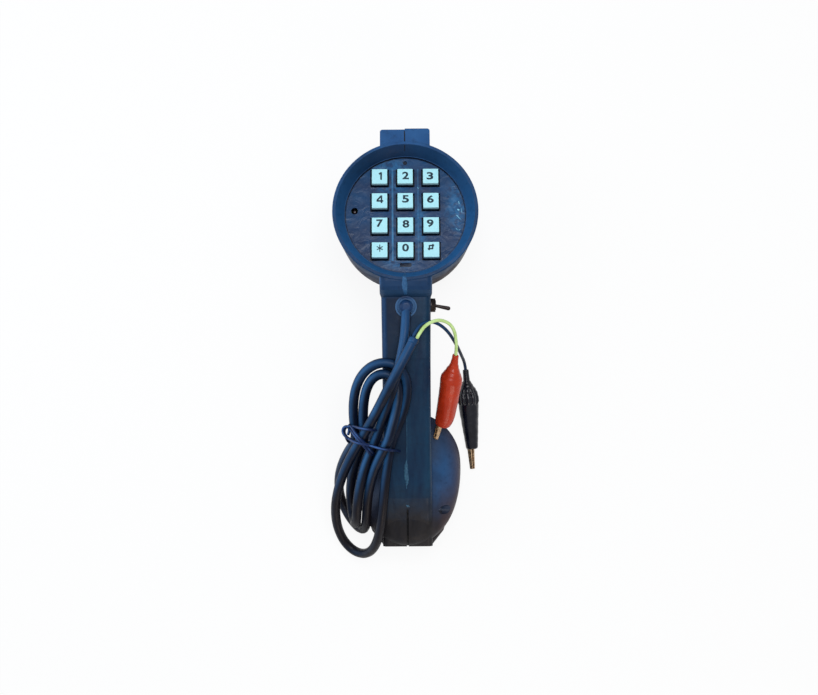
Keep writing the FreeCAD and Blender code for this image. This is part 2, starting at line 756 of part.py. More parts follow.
def handle_hollow():
    """The channel inside the handle, open into the drum and into the mouthpiece."""
    wall = s["wall"]
    inner_round = s["handle_round"] - wall
    heel_share = 0.75
    return beam(
        "handle_hollow",
        [
            (s["beam_start_y"], s["neck_cavity_top"], s["neck_bottom"] + wall, s["neck_width"] - wall * 2, inner_round),
            (
                s["collar_y"] + 1,
                s["neck_cavity_top"] + 1,
                s["neck_bottom"] + wall,
                s["neck_width"] - wall * 2,
                inner_round,
            ),
            (
                s["neck_y"] - wall * 2,
                s["neck_top"] - wall * 1.3,
                s["neck_bottom"] + wall,
                s["neck_width"] - wall * 2,
                inner_round,
            ),
            (
                s["grip_y"],
                s["grip_top"] - wall,
                s["grip_bottom"] + wall,
                s["grip_width"] - wall * 2,
                inner_round,
            ),
            (
                s["throat_y"],
                between(s["grip_top"], s["crease_top"], throat_share) - wall,
                s["throat_bottom"] + wall,
                s["grip_width"] - wall * 2,
                inner_round,
            ),
            (s["crease_y"], s["crease_top"] - wall, spine_floor, s["grip_width"] + 1 - wall * 2, inner_round),
            (
                between(s["crease_y"], s["heel_y"], heel_share),
                between(s["crease_top"], s["heel_top"], heel_share) - wall,
                between(spine_floor, s["heel_bottom"], heel_share),
                s["heel_width"] - wall * 2,
                inner_round,
            ),
        ],
    )


def collar_form():
    """The raised sleeve where the handle leaves the drum."""
    rim_foot = HEAD.point(0, -s["head_radius"], -s["collar_rim_drop"])
    foot = s["neck_bottom"] - 1
    return beam(
        "collar_form",
        [
            (s["beam_start_y"], rim_foot[2] - 2, foot, s["collar_width"], s["handle_round"]),
            (rim_foot[1], rim_foot[2], foot, s["collar_width"], s["handle_round"]),
            (between(rim_foot[1], s["collar_y"], 0.6), between(rim_foot[2], s["collar_top"], 0.4), foot,
             s["collar_width"], s["handle_round"]),
            (s["collar_y"], s["collar_top"], foot, s["collar_width"], s["handle_round"]),
            (between(s["collar_y"], s["neck_y"], 0.6), between(s["collar_top"], s["neck_top"], 0.4), foot,
             s["collar_width"], s["handle_round"]),
            (s["neck_y"] - 0.8, s["neck_top"] - 0.2, foot + 1.4, s["neck_width"], s["handle_round"]),
        ],
    )


def tab_form():
    """The tab over the head, whose right half stands a little further out."""
    half = s["tab_width"] / 2
    start = s["head_foot_radius"] - s["wall"]
    end = s["tab_reach"]
    return prism(
        "tab_form",
        [
            (-half, start),
            (half, start),
            (half, end + s["tab_step"], s["tab_round"]),
            (0, end + s["tab_step"]),
            (0, end),
            (-half, end, s["tab_round"]),
        ],
        s["tab_thickness"],
        HEAD,
        -s["tab_drop"] - s["tab_thickness"],
    )


tab_middle = -s["tab_drop"] - s["tab_thickness"] / 2
SCREWS = (
    ("flank", Frame(s["flank_screw_y"], s["flank_screw_z"], 0), s["flank_screw_seat"]),
    ("grip", Frame(s["grip_screw_y"], s["grip_screw_z"], 0), s["grip_screw_seat"]),
    ("tab", HEAD.moved(0, s["tab_screw_reach"], tab_middle), s["tab_screw_seat"]),
)
SIDE_REACH = 60


def screw_tools():
    """The bosses of the housing screws, and the holes through them."""
    bosses, holes = [], []
    for name, frame, seat in SCREWS:
        side = frame.moved(-SIDE_REACH / 2, 0, 0)
        bosses.append(cylinder(f"{name}_boss", s["boss_radius"], SIDE_REACH, side, ALONG_X))
        shank = cylinder(
            f"{name}_shank_hole",
            s["screw_radius"] + s["fit_gap"],
            s["screw_bite"] + seat + 1,
            frame.moved(-s["screw_bite"], 0, 0),
            ALONG_X,
        )
        head = cylinder(
            f"{name}_head_hole",
            s["screw_head_radius"] + s["fit_gap"],
            SIDE_REACH,
            frame.moved(seat, 0, 0),
            ALONG_X,
        )
        holes += [shank, head]
    return bosses, holes


def rail_tools():
    """The four rails that hold the long edges of the handle's board."""
    reach = s["board_width"] / 2 - s["rail_cover"]
    rails = []
    for side in (-1, 1):
        for level, lift in (("low", -s["rail_height"]), ("high", s["board_thickness"] + s["fit_gap"])):
            rail = box(
                f"rail_{level}_{'left' if side < 0 else 'right'}",
                s["neck_width"] / 2 - reach,
                s["board_length"] - 8,
                s["rail_height"],
                BOARD.moved((reach + s["neck_width"] / 2) / 2 * side, 0, lift),
            )
            rails.append(rail)
    return rails


def make_shells():
    """Both halves of the housing."""
    mouth_neck = cylinder(
        "mouth_neck_form", s["neck_radius"], s["mouth_neck_length"] + 1, MOUTH.moved(0, 0, -s["mouth_neck_length"])
    )
    mouth_bore = cylinder(
        "mouth_bore", s["neck_bore"], s["mouth_floor"] * 3, MOUTH.moved(0, 0, -s["mouth_neck_length"] - 1)
    )
    form = joined(
        "housing_form",
        drum_form(),
        handle_form(),
        heel_form(),
        collar_form(),
        bulb("bulb_form", 0),
        tab_form(),
        mouth_neck,
    )
    hollows = drum_hollow(), handle_hollow(), bulb("bulb_hollow", s["wall"]), mouth_bore
    bosses, holes = screw_tools()
    inner = shared("housing_inner", joined("housing_bosses", *bosses, *rail_tools()), form)
    walls = joined("housing_walls", cut("housing_skin", form, *hollows), inner)
    slot = box(
        "seam_slot",
        s["seam_slot_width"],
        s["seam_slot_length"],
        s["crease_top"],
        Frame(s["heel_y"] + s["seam_slot_length"] / 2 - 1, s["flare_bottom"] + 2, 0),
    )
    grommet_hole = cylinder(
        "grommet_hole", s["grommet_neck_radius"] + s["fit_gap"], s["wall"] * 3, GROMMET.moved(0, 0, -s["wall"] * 2)
    )
    grommet_seat = cylinder(
        "grommet_seat",
        s["grommet_radius"] + s["fit_gap"],
        s["wall"],
        GROMMET.moved(0, 0, -grommet_sink),
    )
    grommet_room = cylinder(
        "grommet_room",
        s["grommet_radius"] + s["fit_gap"],
        s["wall"] * 2,
        GROMMET.moved(0, 0, -grommet_wall - s["wall"] * 2),
    )
    bushing_hole = cylinder(
        "bushing_hole", s["bushing_radius"] + s["fit_gap"], s["wall"] * 2.4, TOGGLE_WALL.moved(-s["wall"], 0, 0), ALONG_X
    )
    switch_room = box(
        "switch_room",
        s["switch_depth"],
        s["switch_length"] + s["fit_gap"] * 2,
        s["switch_height"] + s["fit_gap"] * 2,
        TOGGLE_WALL.moved(-s["switch_depth"] / 2, 0, -s["switch_height"] / 2 - s["fit_gap"]),
    )
    whole = cut("housing", walls, *holes, slot, grommet_hole, grommet_seat, grommet_room, bushing_hole, switch_room)
    length = s["tab_reach"] + s["head_y"] - s["heel_y"] + 20
    for name, side in (("left_shell", -1), ("right_shell", 1)):
        half = box(
            f"{name}_room",
            SIDE_REACH,
            length,
            rim_z + 40,
            Frame((s["head_y"] + s["tab_reach"] + s["heel_y"]) / 2, -5, 0, SIDE_REACH / 2 * side),
        )
        node(shared(name, whole, half))


grommet_sink = s["grommet_lip"] * 0.5
# The flat inside of the right wall at the toggle.
TOGGLE_WALL = Frame(s["toggle_y"], s["toggle_z"], 0, s["grip_width"] / 2 - s["wall"])


def make_shell_screws():
    """Three screws through the right half into the left one."""
    screws = []
    for name, frame, seat in SCREWS:
        shank = cylinder(
            f"{name}_shank",
            s["screw_radius"],
            s["screw_bite"] + seat - 0.5,
            frame.moved(0.5 - s["screw_bite"], 0, 0),
            ALONG_X,
        )
        head = cylinder(
            f"{name}_head", s["screw_head_radius"], s["screw_head_height"], frame.moved(seat, 0, 0), ALONG_X
        )
        screws.append(joined(f"{name}_screw", shank, head))
    node(joined("shell_screws", *screws))

# The ear end and the mouth end: capsule, gasket and screwed cap on each neck.


def make_capsule_end(name, frame, shoulder, neck_length, holes):
    """A neck's gasket, capsule and cap, in a frame whose floor is at the shoulder."""
    end = shoulder + neck_length
    flange_radius = s["neck_radius"] - s["fit_gap"]
    flange_top = -end - s["gasket_thickness"]
    flange_foot = flange_top - s["capsule_flange"]
    face = flange_foot - s["cap_face"]
    bore = s["neck_radius"] + s["fit_gap"]
    capsule_name = {"ear": "receiver_capsule", "mouth": "microphone_capsule"}[name]
    node(
        turned(
            f"{name}_gasket",
            [
                (s["neck_bore"] + s["fit_gap"], -end),
                (flange_radius, -end),
                (flange_radius, flange_top),
                (s["neck_bore"] + s["fit_gap"], flange_top),
            ],
            frame,
        )
    )
    body_top = flange_top + s[f"{name}_capsule_height"]
    hub_top = body_top + s["capsule_hub_height"]
    node(
        turned(
            capsule_name,
            [
                (0, flange_foot),
                (flange_radius, flange_foot),
                (flange_radius, flange_top),
                (s["capsule_radius"], flange_top),
                (s["capsule_radius"], body_top, 1.5),
                (s["capsule_hub_radius"], body_top),
                (s["capsule_hub_radius"], hub_top, 1),
                (0, hub_top),
            ],
            frame,
        )
    )
    dish = s["cap_face"] * 0.4
    cap = turned(
        f"{name}_cap",
        [
            (bore, -shoulder - s["cap_play"]),
            (s["cap_radius"], -shoulder - s["cap_play"], 0.6),
            (s["cap_radius"], face, s["cap_edge"]),
            (s["cap_radius"] * 0.78, face),
            (s["cap_radius"] * 0.7, face + dish),
            (0, face + dish),
            (0, flange_foot),
            (bore, flange_foot),
        ],
        frame,
    )
    pocket(cap, "sound_holes", holes, s["cap_face"] * 2, face - s["cap_face"] / 2)
    node(cap)


def make_capsule_ends():
    hole = s["cap_hole_radius"]
    ear_holes = [(0, 0, hole)] + circle_spots(s["cap_hole_circle"], hole, 6)
    mouth_holes = ear_holes + circle_spots(s["mouth_hole_circle"], hole, 12)
    make_capsule_end("ear", HEAD, s["head_shoulder_depth"], s["ear_neck_length"], ear_holes)
    make_capsule_end("mouth", MOUTH, as_size(0), s["mouth_neck_length"], mouth_holes)


# The keypad: plate, keys, mat, board, lamp and screws, all along the head's axis.

KEYS = (
    ("1", "2", "3"),
    ("4", "5", "6"),
    ("7", "8", "9"),
    ("star", "0", "hash"),
)
flange_foot_depth = plate_floor + s["key_play"] + s["key_flange_height"]
dome_top_depth = flange_foot_depth + s["key_stem_length"] + s["key_travel"] + s["dome_gap"]
mat_top_depth = dome_top_depth + s["dome_height"]
board_top_depth = mat_top_depth + s["mat_thickness"]


def key_spots():
    """Name, x and height up the plate of each key."""
    for row, names in enumerate(KEYS):
        for column, name in enumerate(names):
            yield name, s["key_pitch"] * (column - 1), s["key_pitch"] * (1.5 - row)


post_spots = [
    ((s["mat_width"] / 2 + s["post_radius"] + 0.4) * side, s["key_pitch"] * end) for side in (-1, 1) for end in (-1, 1)
]


def make_keypad_plate():
    """The round plate with its keyholes, ribs, lamp hole, marks and posts."""
    plate = new_body("keypad_plate", HEAD.moved(0, 0, -plate_floor))
    disc = draw_circles(new_sketch(plate, "disc"), [(0, 0, plate_radius)])
    feature(plate, "Pad", "plate", disc, Length=s["plate_thickness"])
    ribs = new_sketch(plate, "rib_outlines", height=s["plate_thickness"])
    for side in (-0.5, 0.5):
        draw_outline(ribs, rectangle(s["rib_width"], s["rib_length"], None, s["key_pitch"] * side, 0))
    feature(plate, "Pad", "ribs", ribs, Length=s["rib_height"])
    post_length = board_top_depth - plate_floor
    posts = draw_circles(new_sketch(plate, "post_rings"), [spot + (s["post_radius"],) for spot in post_spots])
    legs = feature(plate, "Pad", "posts", posts, Length=post_length)
    legs.Reversed = True
    holes = new_sketch(plate, "keyholes_outlines")
    for name, across, up in key_spots():
        draw_outline(holes, rectangle(s["key_hole"], s["key_hole"], None, across, up))
    feature(plate, "Pocket", "keyholes", holes, Length=s["plate_thickness"] + s["rib_height"]).Reversed = True
    pocket(plate, "lamp_hole", [(s["lamp_x"], s["lamp_up"], s["lamp_hole_radius"])], s["plate_thickness"])
    mark_floor = s["plate_thickness"] - s["mark_depth"]
    pocket(plate, "pip", [(0, s["pip_up"], s["pip_radius"])], s["mark_depth"], mark_floor)
    slot = new_sketch(plate, "slot_outline", height=mark_floor)
    draw_outline(slot, rectangle(s["slot_width"], s["slot_height"], s["slot_height"] * 0.3, 0, -s["slot_down"]))
    feature(plate, "Pocket", "slot", slot, Length=s["mark_depth"]).Reversed = True
    screw_holes = [spot + (s["small_screw_radius"] + s["run_gap"],) for spot in post_spots]
    pocket(plate, "screw_holes", screw_holes, post_length, -post_length)
    node(plate)


def make_keys():
    """Twelve keys: a tapered cap, a flange under the plate and a stem over its dome."""
    side, top = s["key_base"], s["key_top"]
    shank = s["plate_thickness"] + s["key_play"]
    taper = angle_of((top - side) / 2, s["key_height"])
    for name, across, up in key_spots():
        key = new_body(f"key_{name}", HEAD.moved(across, up, -s["recess_depth"]))
        foot = draw_outline(new_sketch(key, "shank", height=-shank), rectangle(side, side, s["key_round"]))
        feature(key, "Pad", "shank_pad", foot, Length=shank)
        cap = draw_outline(new_sketch(key, "cap", height=0), rectangle(side, side, s["key_round"]))
        feature(key, "Pad", "cap_pad", cap, Length=s["key_height"], TaperAngle=taper)
        edge = new_sketch(key, "flange", height=-shank)
        draw_outline(edge, rectangle(s["key_flange"], s["key_flange"], s["key_round"]))
        feature(key, "Pad", "flange_pad", edge, Length=s["key_flange_height"]).Reversed = True
        stem = draw_circles(
            new_sketch(key, "stem", height=-shank - s["key_flange_height"]), [(0, 0, s["key_stem_radius"])]
        )
        feature(key, "Pad", "stem_pad", stem, Length=s["key_stem_length"]).Reversed = True
        node(key)


def make_keypad_inside():
    """Mat, board, lamp and screws under the plate."""
    mat = new_body("keypad_mat", HEAD.moved(0, 0, -board_top_depth))
    sheet = draw_outline(new_sketch(mat, "sheet"), rectangle(s["mat_width"], s["mat_length"], s["mat_round"]))
    feature(mat, "Pad", "sheet_pad", sheet, Length=s["mat_thickness"])
    rings = [(across, up, s["dome_radius"]) for name, across, up in key_spots()]
    domes = draw_circles(new_sketch(mat, "dome_rings", height=s["mat_thickness"]), rings)
    feature(mat, "Pad", "domes", domes, Length=s["dome_height"])
    node(mat)
    board = new_body("keypad_board", HEAD.moved(0, 0, -board_top_depth - s["board_thickness"]))
    disc = draw_circles(new_sketch(board, "disc"), [(0, 0, s["keypad_board_radius"])])
    feature(board, "Pad", "disc_pad", disc, Length=s["board_thickness"])
    pocket(
        board,
        "screw_holes",
        [spot + (s["small_screw_radius"] + s["run_gap"],) for spot in post_spots],
        s["board_thickness"],
    )
    node(board)
    lamp_top = board_top_depth - s["recess_depth"] - 1
    node(
        turned(
            "line_lamp",
            [
                (0, 0),
                (s["lamp_radius"] + 0.35, 0),
                (s["lamp_radius"] + 0.35, 0.8),
                (s["lamp_radius"], 0.8),
                (s["lamp_radius"], lamp_top, s["lamp_radius"] * 0.9),
                (0, lamp_top),
            ],
            HEAD.moved(s["lamp_x"], s["lamp_up"], -board_top_depth),
        )
    )
    screws = []
    for i, (across, up) in enumerate(post_spots):
        foot = HEAD.moved(across, up, -board_top_depth - s["board_thickness"] - s["small_head_height"])
        bite = s["board_thickness"] + s["small_head_height"] + (board_top_depth - plate_floor) * 0.8
        head = cylinder(f"keypad_screw_head{i}", s["small_head_radius"], s["small_head_height"], foot)
        shank = cylinder(f"keypad_screw_shank{i}", s["small_screw_radius"], bite, foot)
        screws.append(joined(f"keypad_screw{i}", head, shank))
    node(joined("keypad_screws", *screws))


# The handle's board and what is soldered to it.


def make_board():
    node(box("main_board", s["board_width"], s["board_length"], s["board_thickness"], BOARD))
    top = s["board_thickness"]
    node(
        box(
            "line_transformer",
            s["transformer_width"],
            s["transformer_length"],
            s["transformer_height"],
            BOARD.moved(0, s["transformer_along"], top),
        )
    )
    cans = [
        cylinder(
            f"capacitor{side}",
            s["capacitor_radius"],
            s["capacitor_height"],
            BOARD.moved((s["capacitor_radius"] + 0.5) * side, s["capacitor_along"], top),
        )
        for side in (-1, 1)
    ]
    node(joined("line_capacitors", *cans))
    node(
        box(
            "dialler_chip",
            s["chip_width"],
            s["chip_length"],
            s["chip_height"],
            BOARD.moved(0, s["chip_along"], top),
        )
    )
    node(
        cylinder(
            "bridge_rectifier",
            s["rectifier_radius"],
            s["rectifier_height"],
            BOARD.moved(0, s["rectifier_along"], top),
        )
    )


# The cord's grommet in the back.

grommet_wall = s["wall"] * 1.5


def make_grommet():
    """A dished plug with a dome that the cord leaves towards the heel."""
    plug = turned(
        "grommet_plug",
        [
            (0, -grommet_wall - s["grommet_flange"]),
            (s["grommet_radius"], -grommet_wall - s["grommet_flange"]),
            (s["grommet_radius"], -grommet_wall),
            (s["grommet_neck_radius"], -grommet_wall),
            (s["grommet_neck_radius"], -grommet_sink),
            (s["grommet_radius"], -grommet_sink),
            (s["grommet_radius"], s["grommet_lip"] - grommet_sink),
            (s["grommet_radius"] - 0.9, s["grommet_lip"] - grommet_sink),
            (s["grommet_radius"] - 1.2, 0),
            (s["grommet_dome_radius"], 0),
            (s["grommet_dome_radius"], s["grommet_dome"], s["grommet_dome_radius"] * 0.6),
            (0, s["grommet_dome"]),
        ],
        GROMMET,
    )
    socket = cylinder(
        "grommet_socket",
        s["cord_diameter"] / 2 + s["run_gap"],
        s["grommet_radius"] * 2,
        CORD_EXIT,
        ACROSS,
    )
    node(cut("cord_grommet", plug, socket))


exit_spot = GROMMET.point(0, s["grommet_dome_radius"] * 0.3, s["cord_foot"])
CORD_EXIT = Frame(exit_spot[1], exit_spot[2], -s["cord_rise"])


# The toggle switch on the right side.

toggle_outside = s["neck_width"] / 2 - TOGGLE_WALL.x + s["run_gap"]


def make_switch():
    """Switch body, bushing, washer, nut and terminals, along +X from the wall's inside."""
    across = TOGGLE_WALL
    node(
        box(
            "switch_body",
            s["switch_depth"] - s["fit_gap"],
            s["switch_length"],
            s["switch_height"],
            across.moved(-s["switch_depth"] / 2 - s["fit_gap"] / 2, 0, -s["switch_height"] / 2),
        )
    )
    bore = s["lever_ball_radius"] + s["run_gap"]
    length = s["bushing_length"] + s["fit_gap"]
    start = across.moved(-s["fit_gap"], 0, 0)
    bushing = cylinder("bushing_rod", s["bushing_radius"], length, start, ALONG_X)
    bushing_bore = cylinder("bushing_bore", bore, s["bushing_length"] * 2, start, ALONG_X)
    node(cut("switch_bushing", bushing, bushing_bore))
    hole_radius = s["bushing_radius"] + s["run_gap"]
    washer = across.moved(toggle_outside, 0, 0)
    node(
        cut(
            "switch_washer",
            cylinder("washer_disc", s["washer_radius"], s["washer_thickness"], washer, ALONG_X),
            cylinder("washer_hole", hole_radius, s["washer_thickness"], washer, ALONG_X),
        )
    )
    seat = washer.moved(s["washer_thickness"], 0, 0)
    hexagon = add(
        "Part::Prism", "nut_hexagon", Circumradius=s["nut_across_flats"] / 2 / cosine(as_size(30)), Height=s["nut_thickness"]
    )
    hexagon.Polygon = 6
    put(hexagon, seat, ALONG_X)
    node(cut("switch_nut", hexagon, cylinder("nut_hole", hole_radius, s["nut_thickness"], seat, ALONG_X)))
    lugs = [
        box(
            f"terminal{i}",
            s["wall"] * 1.4,
            s["lug_width"],
            s["lug_thickness"],
            across.moved(-s["switch_depth"] - s["wall"] * 0.7, s["lug_pitch"] * i, -s["lug_thickness"] / 2),
        )
        for i in (-1, 0, 1)
    ]
    node(joined("switch_terminals", *lugs))


def make_lever():
    """The toggle's lever: a ball in the bushing, a tapering shank and a rounded end."""
    middle = TOGGLE_WALL.moved(lever_reach, 0, 0)
    end = s["lever_length"] - s["lever_tip_radius"]
    root, tip_radius = s["lever_root_radius"], s["lever_tip_radius"]
    ball = add("Part::Sphere", "lever_ball", Radius=s["lever_ball_radius"])
    shank = add("Part::Cone", "lever_shank", Radius1=root, Radius2=tip_radius, Height=end)
    tip = put(add("Part::Sphere", "lever_tip", Radius=tip_radius), Frame(0, end, 0))
    tail = cylinder("lever_tail", root, s["lever_tail"], Frame(0, -s["lever_tail"], 0))
    lever = joined("switch_lever", tail, ball, shank, tip)
    spot = f"vector({middle.x.text}; {middle.y.text}; {middle.z.text})"
    lever.setExpression("Placement", f"placement({spot}; rotation(0 - {s['lever_lean'].text}; 90; 0))")
    node(lever)


lever_reach = s["bushing_length"] - s["lever_ball_radius"]


# The two clips: jaws, pin, spring and boot, each built with its pivot at the origin and its nose along +X.


def place_clip(thing, colour, turn="rotation(0; 0; 0)"):
    """Lays a piece of a clip where the clip lies; its own turn comes first."""
    x, y, z, yaw, pitch, roll = (
        s[f"{colour}_clip_{name}"].text for name in ("x", "y", "z", "yaw", "pitch", "roll")
    )
    clip = f"placement(vector({x}; {y}; {z}); rotation({yaw}; {pitch}; {roll}))"
    thing.setExpression("Placement", f"{clip} * placement(vector(0; 0; 0); {turn})")
    node(thing)


def jaw_back(inset):
    """The top of a jaw's side view, from its tail to its tip."""
    back = s["jaw_back"] - inset
    return [
        (-4, back),
        (-1, back),
        (s["jaw_waist"] * 0.25, between(back, s["jaw_waist_back"] - inset, 0.4)),
        (s["jaw_waist"], s["jaw_waist_back"] - inset),
    ]


def jaw_outline():
    """A jaw's side view: teeth, ears round the pin, splayed tail and back."""
    nose, tail = s["jaw_nose"], s["jaw_tail"]
    ear = s["pin_radius"] + 0.8
    corners = [(nose, s["jaw_tip_height"])]
    for i in range(int(s["jaw_teeth"].value)):
        point = nose - s["tooth_pitch"] * i
        corners.append((point, s["run_gap"]))
        corners.append((point - s["tooth_pitch"] / 2, s["tooth_depth"]))
    corners += [
        (ear + 1.4, s["tooth_depth"]),
        (ear, -ear),
        (-ear, -ear),
        (-ear * 2.4, s["jaw_back"] - 1.4),
        (-tail, s["jaw_splay"] - 1.1),
        (-tail, s["jaw_splay"]),
    ]
    return corners + jaw_back(0)


def channel_outline():
    """The side view of the hollow under a jaw's back."""
    sheet = s["jaw_sheet"]
    end = s["jaw_nose"] - sheet
    behind = -s["jaw_tail"] - 1
    top = s["jaw_splay"] - sheet
    return [(end, -s["jaw_back"]), (behind, -s["jaw_back"]), (behind, top)] + jaw_back(sheet) + [
        (end, s["jaw_tip_height"] - sheet)
    ]


def slab(name, corners, width):
    """A side view given a width, even about the middle."""
    body = new_body(name)
    profile = draw_outline(new_sketch(body, "profile", "XZ_Plane"), corners)
    feature(body, "Pad", "pad", profile, Length=width).Midplane = True
    return body


def jaw_plan(name, width, tip_width):
    """A jaw seen from its back: even to the pivot, then tapering to the tip."""
    half, tip = width / 2, tip_width / 2
    nose, tail = s["jaw_nose"] + 1, s["jaw_tail"] + 2
    height = s["jaw_splay"] * 4
    corners = [(-tail, -half), (2, -half), (nose, -tip), (nose, tip), (2, half), (-tail, half)]
    return prism(name, corners, height, WORLD, -height / 2)


def jaw(name, width, tip_width):
    """A stamped channel with teeth, ears round the pin and a splayed tail."""
    sheets = s["jaw_sheet"] * 2
    form = shared(f"{name}_form", slab(f"{name}_side", jaw_outline(), width), jaw_plan(f"{name}_plan", width, tip_width))
    channel = shared(
        f"{name}_channel",
        slab(f"{name}_channel_side", channel_outline(), width),
        jaw_plan(f"{name}_channel_plan", width - sheets, tip_width - sheets),
    )
    hole = cylinder(
        f"{name}_hole", s["pin_radius"] + s["run_gap"], s["jaw_width"] * 2, Frame(s["jaw_width"], 0, 0), ACROSS
    )
    return cut(name, form, channel, hole)


LEG_SPREAD = 9


def make_clip(colour):
    """One clip, moved to its place when all its pieces are made."""
    nested = (s["jaw_sheet"] + s["fit_gap"]) * 2
    upper = jaw(f"{colour}_moving_jaw", s["jaw_width"] - nested, s["jaw_tip_width"] - nested)
    lower = jaw(f"{colour}_fixed_jaw", s["jaw_width"], s["jaw_tip_width"])
    pin = cylinder(f"{colour}_pin_rod", s["pin_radius"], s["jaw_width"] + 0.6, Frame(s["jaw_width"] / 2 + 0.3, 0, 0), ACROSS)
    heads = [
        cylinder(
            f"{colour}_pin_head{side}",
            s["pin_head_radius"],
            0.5,
            Frame((s["jaw_width"] / 2 + s["fit_gap"]) * side + (0.5 if side > 0 else 0), 0, 0),
            ACROSS,
        )
        for side in (-1, 1)
    ]
    pivot = joined(f"{colour}_pivot_pin", pin, *heads)
    coil_width = s["jaw_width"] - nested - s["jaw_sheet"] * 2 - s["fit_gap"] * 3
    coil = cylinder(f"{colour}_coil_rod", s["spring_radius"], coil_width, Frame(coil_width / 2, 0, 0), ACROSS)
    coil_bore = cylinder(
        f"{colour}_coil_bore", s["pin_radius"] + s["fit_gap"], coil_width * 2, Frame(coil_width, 0, 0), ACROSS
    )
    leg_root = (s["spring_radius"] + s["pin_radius"] + s["fit_gap"]) / 2 * cosine(as_size(45))
    thick = s["spring_wire"] * 2
    corner = f"0 - {s['spring_wire'].text}"
    legs = []
    for side in (-1, 1):
        leg = add("Part::Box", f"{colour}_leg{side}", Length=thick, Width=thick, Height=s["jaw_tail"] * 0.62)
        spot = f"vector(0 - {leg_root.text}; {side} * {s['coil_leg'].text}; {side} * {leg_root.text})"
        turn = f"placement({spot}; rotation(0; {-90 + LEG_SPREAD * side}; 0))"
        leg.setExpression("Placement", f"{turn} * placement(vector({corner}; {corner}; 0); rotation(0; 0; 0))")
        legs.append(leg)
    spring = joined(f"{colour}_jaw_spring", cut(f"{colour}_coil", coil, coil_bore), *legs)
    place_clip(upper, colour)
    place_clip(lower, colour, "rotation(0; 0; 180)")
    place_clip(pivot, colour)
    place_clip(spring, colour)
    place_clip(make_boot(colour), colour, "rotation(0; 90; 0)")


def make_boot(colour):
    """The soft sleeve: a neck round the lead, a belly over the tails and a narrow mouth."""
    reach, mouth = s[f"{colour}_boot_reach"], s[f"{colour}_mouth_radius"]
    rear = reach - s["boot_length"]
    neck_end = rear + s[f"{colour}_boot_neck"]
    wall, belly, neck = s["boot_wall"], s["boot_radius"], s["boot_neck_radius"]
    lead = s["lead_radius"] + s["run_gap"]
    wide = -s["jaw_tail"] - wall * 2
    narrowing = wide + s["boot_belly_length"]
    middle = between(narrowing, reach, 0.45)
    middle_radius = between(belly, mouth, 0.35)
    return turned(
        f"{colour}_boot",
        [
            (lead, rear),
            (neck - 0.3, rear),
            (neck, neck_end, 2),
            (belly, wide, 3),
            (belly, narrowing, 5),
            (middle_radius, middle, 10),
            (mouth, reach),
            (mouth - wall, reach),
            (middle_radius - wall, middle, 10),
            (belly - wall, narrowing, 5),
            (belly - wall, wide + wall, 2),
            (neck, neck_end + wall),
            (neck - wall, neck_end),
            (neck - wall, rear + s["boot_bore"]),
            (lead, rear + s["boot_bore"]),
        ],
    )


# The cord as it lies: a tail over the back, a hank drawn in at its waist by a wire tie, and an end that runs
# back up over the hank to the two leads. Points are in the handset's frame.

CORD_TAIL = (
    Vector(0, 8.5, 62.785),
    Vector(-2.8, -9.4, 63.1),
    Vector(-7.1, -24.7, 63.7),
    Vector(-13.2, -43.8, 58),
)
WAIST = (
    Vector(-19.1, -60, 51.5),
    Vector(-25.9, -60, 45.6),
    Vector(-11.4, -60, 59.5),
    Vector(-31, -60, 41.4),
    Vector(-9.2, -60, 50.6),
    Vector(-28.3, -60, 52.9),
)
LOBES = (
    (Vector(-32.7, -113.6, 27.5), Vector(1.1, 0.1, 22.7), Vector(-4.3, 0, -3.2)),
    (Vector(-11.6, -20, 56.3), Vector(-8.2, 4.1, 6.1), Vector(-0.6, 2.6, 0.5)),
    (Vector(-29.8, -118.7, 19.3), Vector(4.5, -1, 19.5), Vector(-8.2, 0, -6.3)),
    (Vector(-12.1, -13, 57), Vector(-14.4, 1.4, 3.4), Vector(-0.1, 0.5, 0)),
    (Vector(-29.9, -135.9, 12.9), Vector(15.5, 0.8, 23.1), Vector(-5.3, 0.1, 4.5)),
)
CORD_END = (
    Vector(-19.5, -45.3, 60.4),
    Vector(-8.6, -23.9, 70.5),
    Vector(-0.8, -9.5, 69.4),
    Vector(4.3, 0.2, 67.2),
)
TIED = (WAIST[4], WAIST[2], WAIST[5], WAIST[3])
LEAD_RUNS = {
    "green": (
        Vector(11.6, 9.3, 64.6),
        Vector(19.8, 12.6, 61),
        Vector(28.4, 8.4, 55.6),
    ),
    "black": (
        Vector(9.3, 10.2, 63),
        Vector(16.3, 11.3, 59.5),
        Vector(24.2, 6.5, 53),
        Vector(30.6, -2.6, 40),
        Vector(34.4, -9.2, 24),
    ),
}


def arc_or_line(start, heading, end, heading_is_last=False):
    """An edge between two points that has a heading at its start, or at its end."""
    chord = end - start
    along = Vector(chord).normalize()
    side = heading - along * heading.dot(along)
    if side.Length < 1e-6:
        return Part.LineSegment(start, end).toShape()
    bend = math.atan2(side.Length, heading.dot(along))
    bulge = side.normalize() * (chord.Length / 2 * math.tan(bend / 2))
    middle = (start + end) * 0.5 + (-bulge if heading_is_last else bulge)
    return Part.Arc(start, middle, end).toShape()


def biarc(start, heading, end, last_heading):
    """Two tangent arcs from one point and heading to another."""
    chord = end - start
    both = heading + last_heading
    twist = 2 * (heading.dot(last_heading) - 1)
    if abs(twist) < 1e-9:
        reach = chord.dot(chord) / (2 * chord.dot(both))
    else:
        across = chord.dot(both)
        reach = (across - math.sqrt(across * across - twist * chord.dot(chord))) / twist
    middle = (start + heading * reach + end - last_heading * reach) * 0.5
    return [arc_or_line(start, heading, middle), arc_or_line(middle, last_heading, end, True)]


